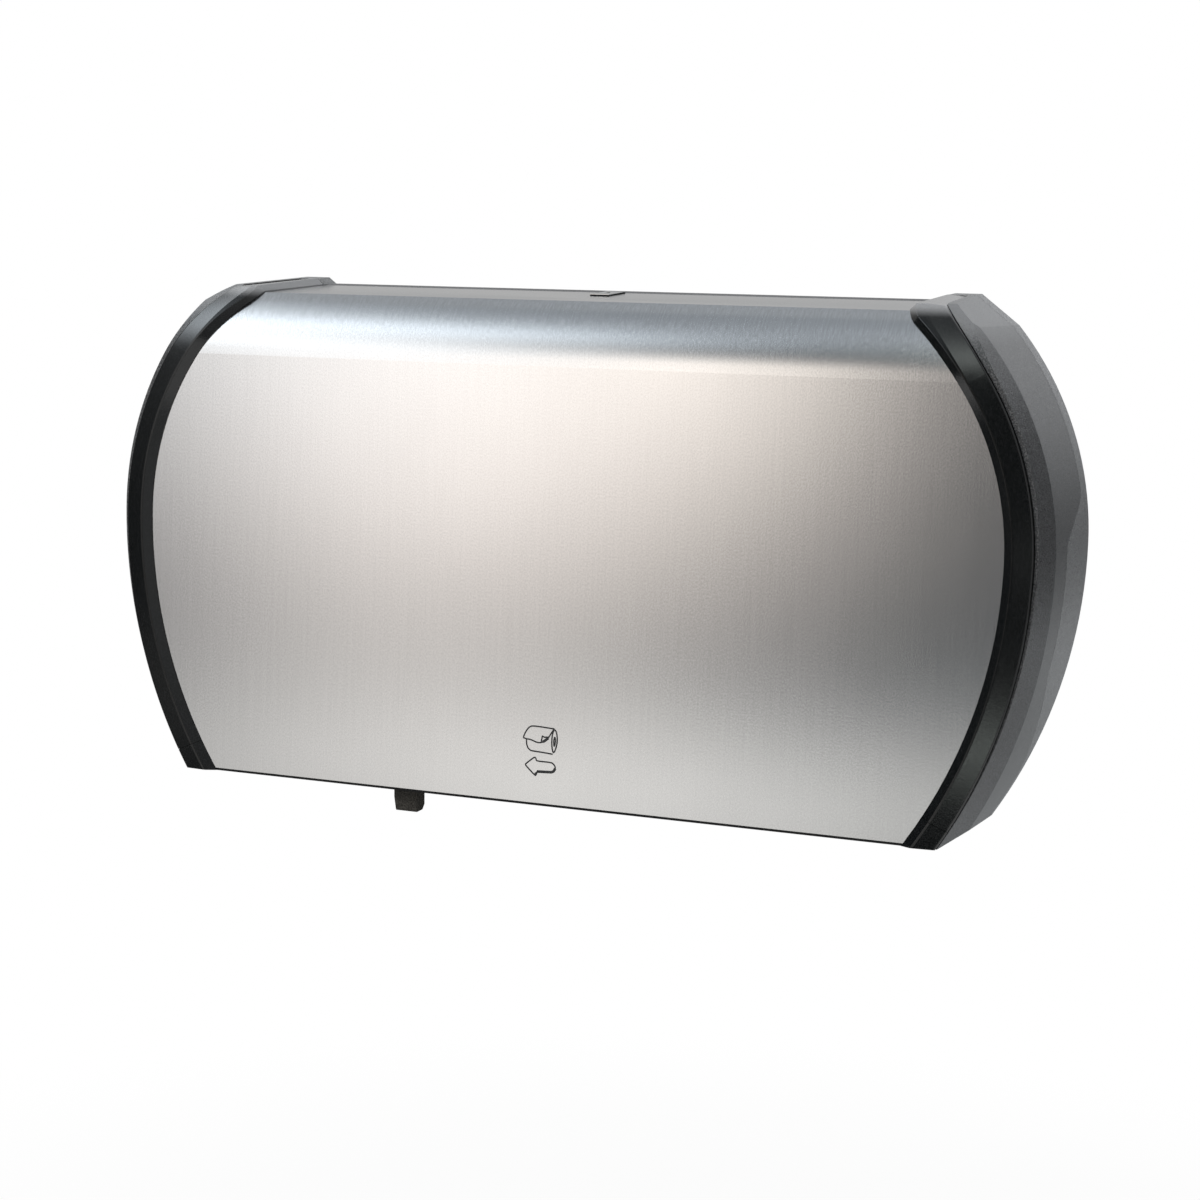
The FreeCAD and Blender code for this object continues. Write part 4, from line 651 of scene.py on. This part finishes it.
def shadeCard():  # a grey card over the floor, low behind to the right, that the cheeks mirror
    bm = bmesh.new()
    bmesh.ops.create_grid(bm, x_segments=1, y_segments=1, size=0.5)
    bmesh.ops.scale(bm, verts=bm.verts, vec=(card["wide"], card["deep"], 1.0))
    bmesh.ops.translate(bm, verts=bm.verts, vec=card["place"])
    sheet = placeMesh(bm, "shadeCard", "stage_card")
    finish = Finish("cardGrey")
    sheet.data.materials.append(finish.shine(finish.glow(card["grey"])))
    glossyOnly(sheet)


def studioDome():
    bm = bmesh.new()
    bmesh.ops.create_icosphere(bm, subdivisions=5, radius=dome["radius"])
    bmesh.ops.reverse_faces(bm, faces=bm.faces)
    shell = placeMesh(bm, "studioDome", "stage_dome")
    finish = Finish("studioLight")
    x, y, z = [axis / dome["radius"] for axis in finish.axes()]
    front = finish.blend(x.step(*dome["frontToRight"]), dome["front"], dome["right"])
    front = softBoxes(finish, front, x, z, dome["boxes"])
    front = finish.gather("MAXIMUM", front, (0.0, 0.0, 0.0))
    level = (z - dome["dipHeight"]) / dome["dipSpread"]
    foot = finish.blend(z.step(*dome["footToHead"]), dome["rearFoot"], dome["rearHead"])
    foot = finish.blend(z.step(*dome["toeToFoot"]), dome["rearToe"], foot)
    right = finish.blend((level * level).bell(), foot, dome["rearDip"])
    inBand = z.step(*dome["intoBand"]) - z.step(*dome["outOfBand"])
    side = finish.blend(inBand, dome["sideEnds"], dome["sideBand"])
    right = finish.blend(x.step(*dome["rightToSide"]), right, side)
    low = finish.blend(x.step(*dome["lowToRight"]), dome["rearLow"], right)
    high = finish.blend(x.step(*dome["highToHead"]), dome["rearHigh"], dome["rearHead"])
    rear = finish.blend(z.step(*dome["lowToHigh"]), low, high)
    rear = softBoxes(finish, rear, x, z, dome["rearBoxes"])
    light = finish.blend((0.0 - y).step(*dome["rearToFront"]), rear, front)
    shell.data.materials.append(finish.shine(finish.glow(light)))
    glossyOnly(shell)


def surround():
    world = bpy.data.worlds.new("surround")
    bpy.context.scene.world = world
    world.use_nodes = True
    finish = Finish("surround", world.node_tree)
    strength = airLight + whiteRays(finish) * (1.0 - airLight)
    light = finish.add("ShaderNodeBackground", inputs={"Color": white, "Strength": strength})
    finish.add("ShaderNodeOutputWorld", inputs={"Surface": light})


lamps = [  # name, place, width and height, power and colour; each aims at the origin
    ("keyLamp", (-1.6, -1.8, 1.3), (1.4, 1.0), 38.0, (1.0, 0.98, 0.96)),
    ("topLamp", (0.2, -0.4, 1.9), (1.6, 1.0), 32.0, (0.97, 0.99, 1.0)),
    ("fillLamp", (1.9, -1.0, 0.5), (1.0, 1.4), 1.5, (0.97, 0.99, 1.0)),
]


def softLamp(name, place, size, power, color):
    data = bpy.data.lights.new(name, "AREA")
    data.shape = "RECTANGLE"
    data.size, data.size_y = size
    data.energy = power
    data.color = color
    lamp = bpy.data.objects.new(name, data)
    lamp.location = place
    lamp.rotation_euler = (-Vector(place)).to_track_quat("-Z", "Y").to_euler()
    lamp.visible_glossy = False
    bpy.context.scene.collection.objects.link(lamp)


stageFloor()
studioDome()
shadeCard()
surround()
for lamp in lamps:
    softLamp(*lamp)
print("stage done")


# Camera at the photograph's angle

view = {
    "place": (0.4801, -1.2553, 0.1642),
    "right": (0.92975, 0.36779, 0.01725),
    "up": (-0.07120, 0.13362, 0.98848),
    "back": (0.36124, -0.92027, 0.15042),
    "lens": 72.0,
    "sensor": 36.0,
}
cameraData = bpy.data.cameras.new("photoCamera")
cameraData.lens = view["lens"]
cameraData.sensor_width = view["sensor"]
cameraData.sensor_fit = "HORIZONTAL"
camera = bpy.data.objects.new("photoCamera", cameraData)
turn = Matrix((view["right"], view["up"], view["back"])).transposed()
camera.matrix_world = Matrix.Translation(view["place"]) @ turn.to_4x4()
bpy.context.scene.collection.objects.link(camera)
bpy.context.scene.camera = camera
bpy.context.scene.view_settings.view_transform = "Standard"
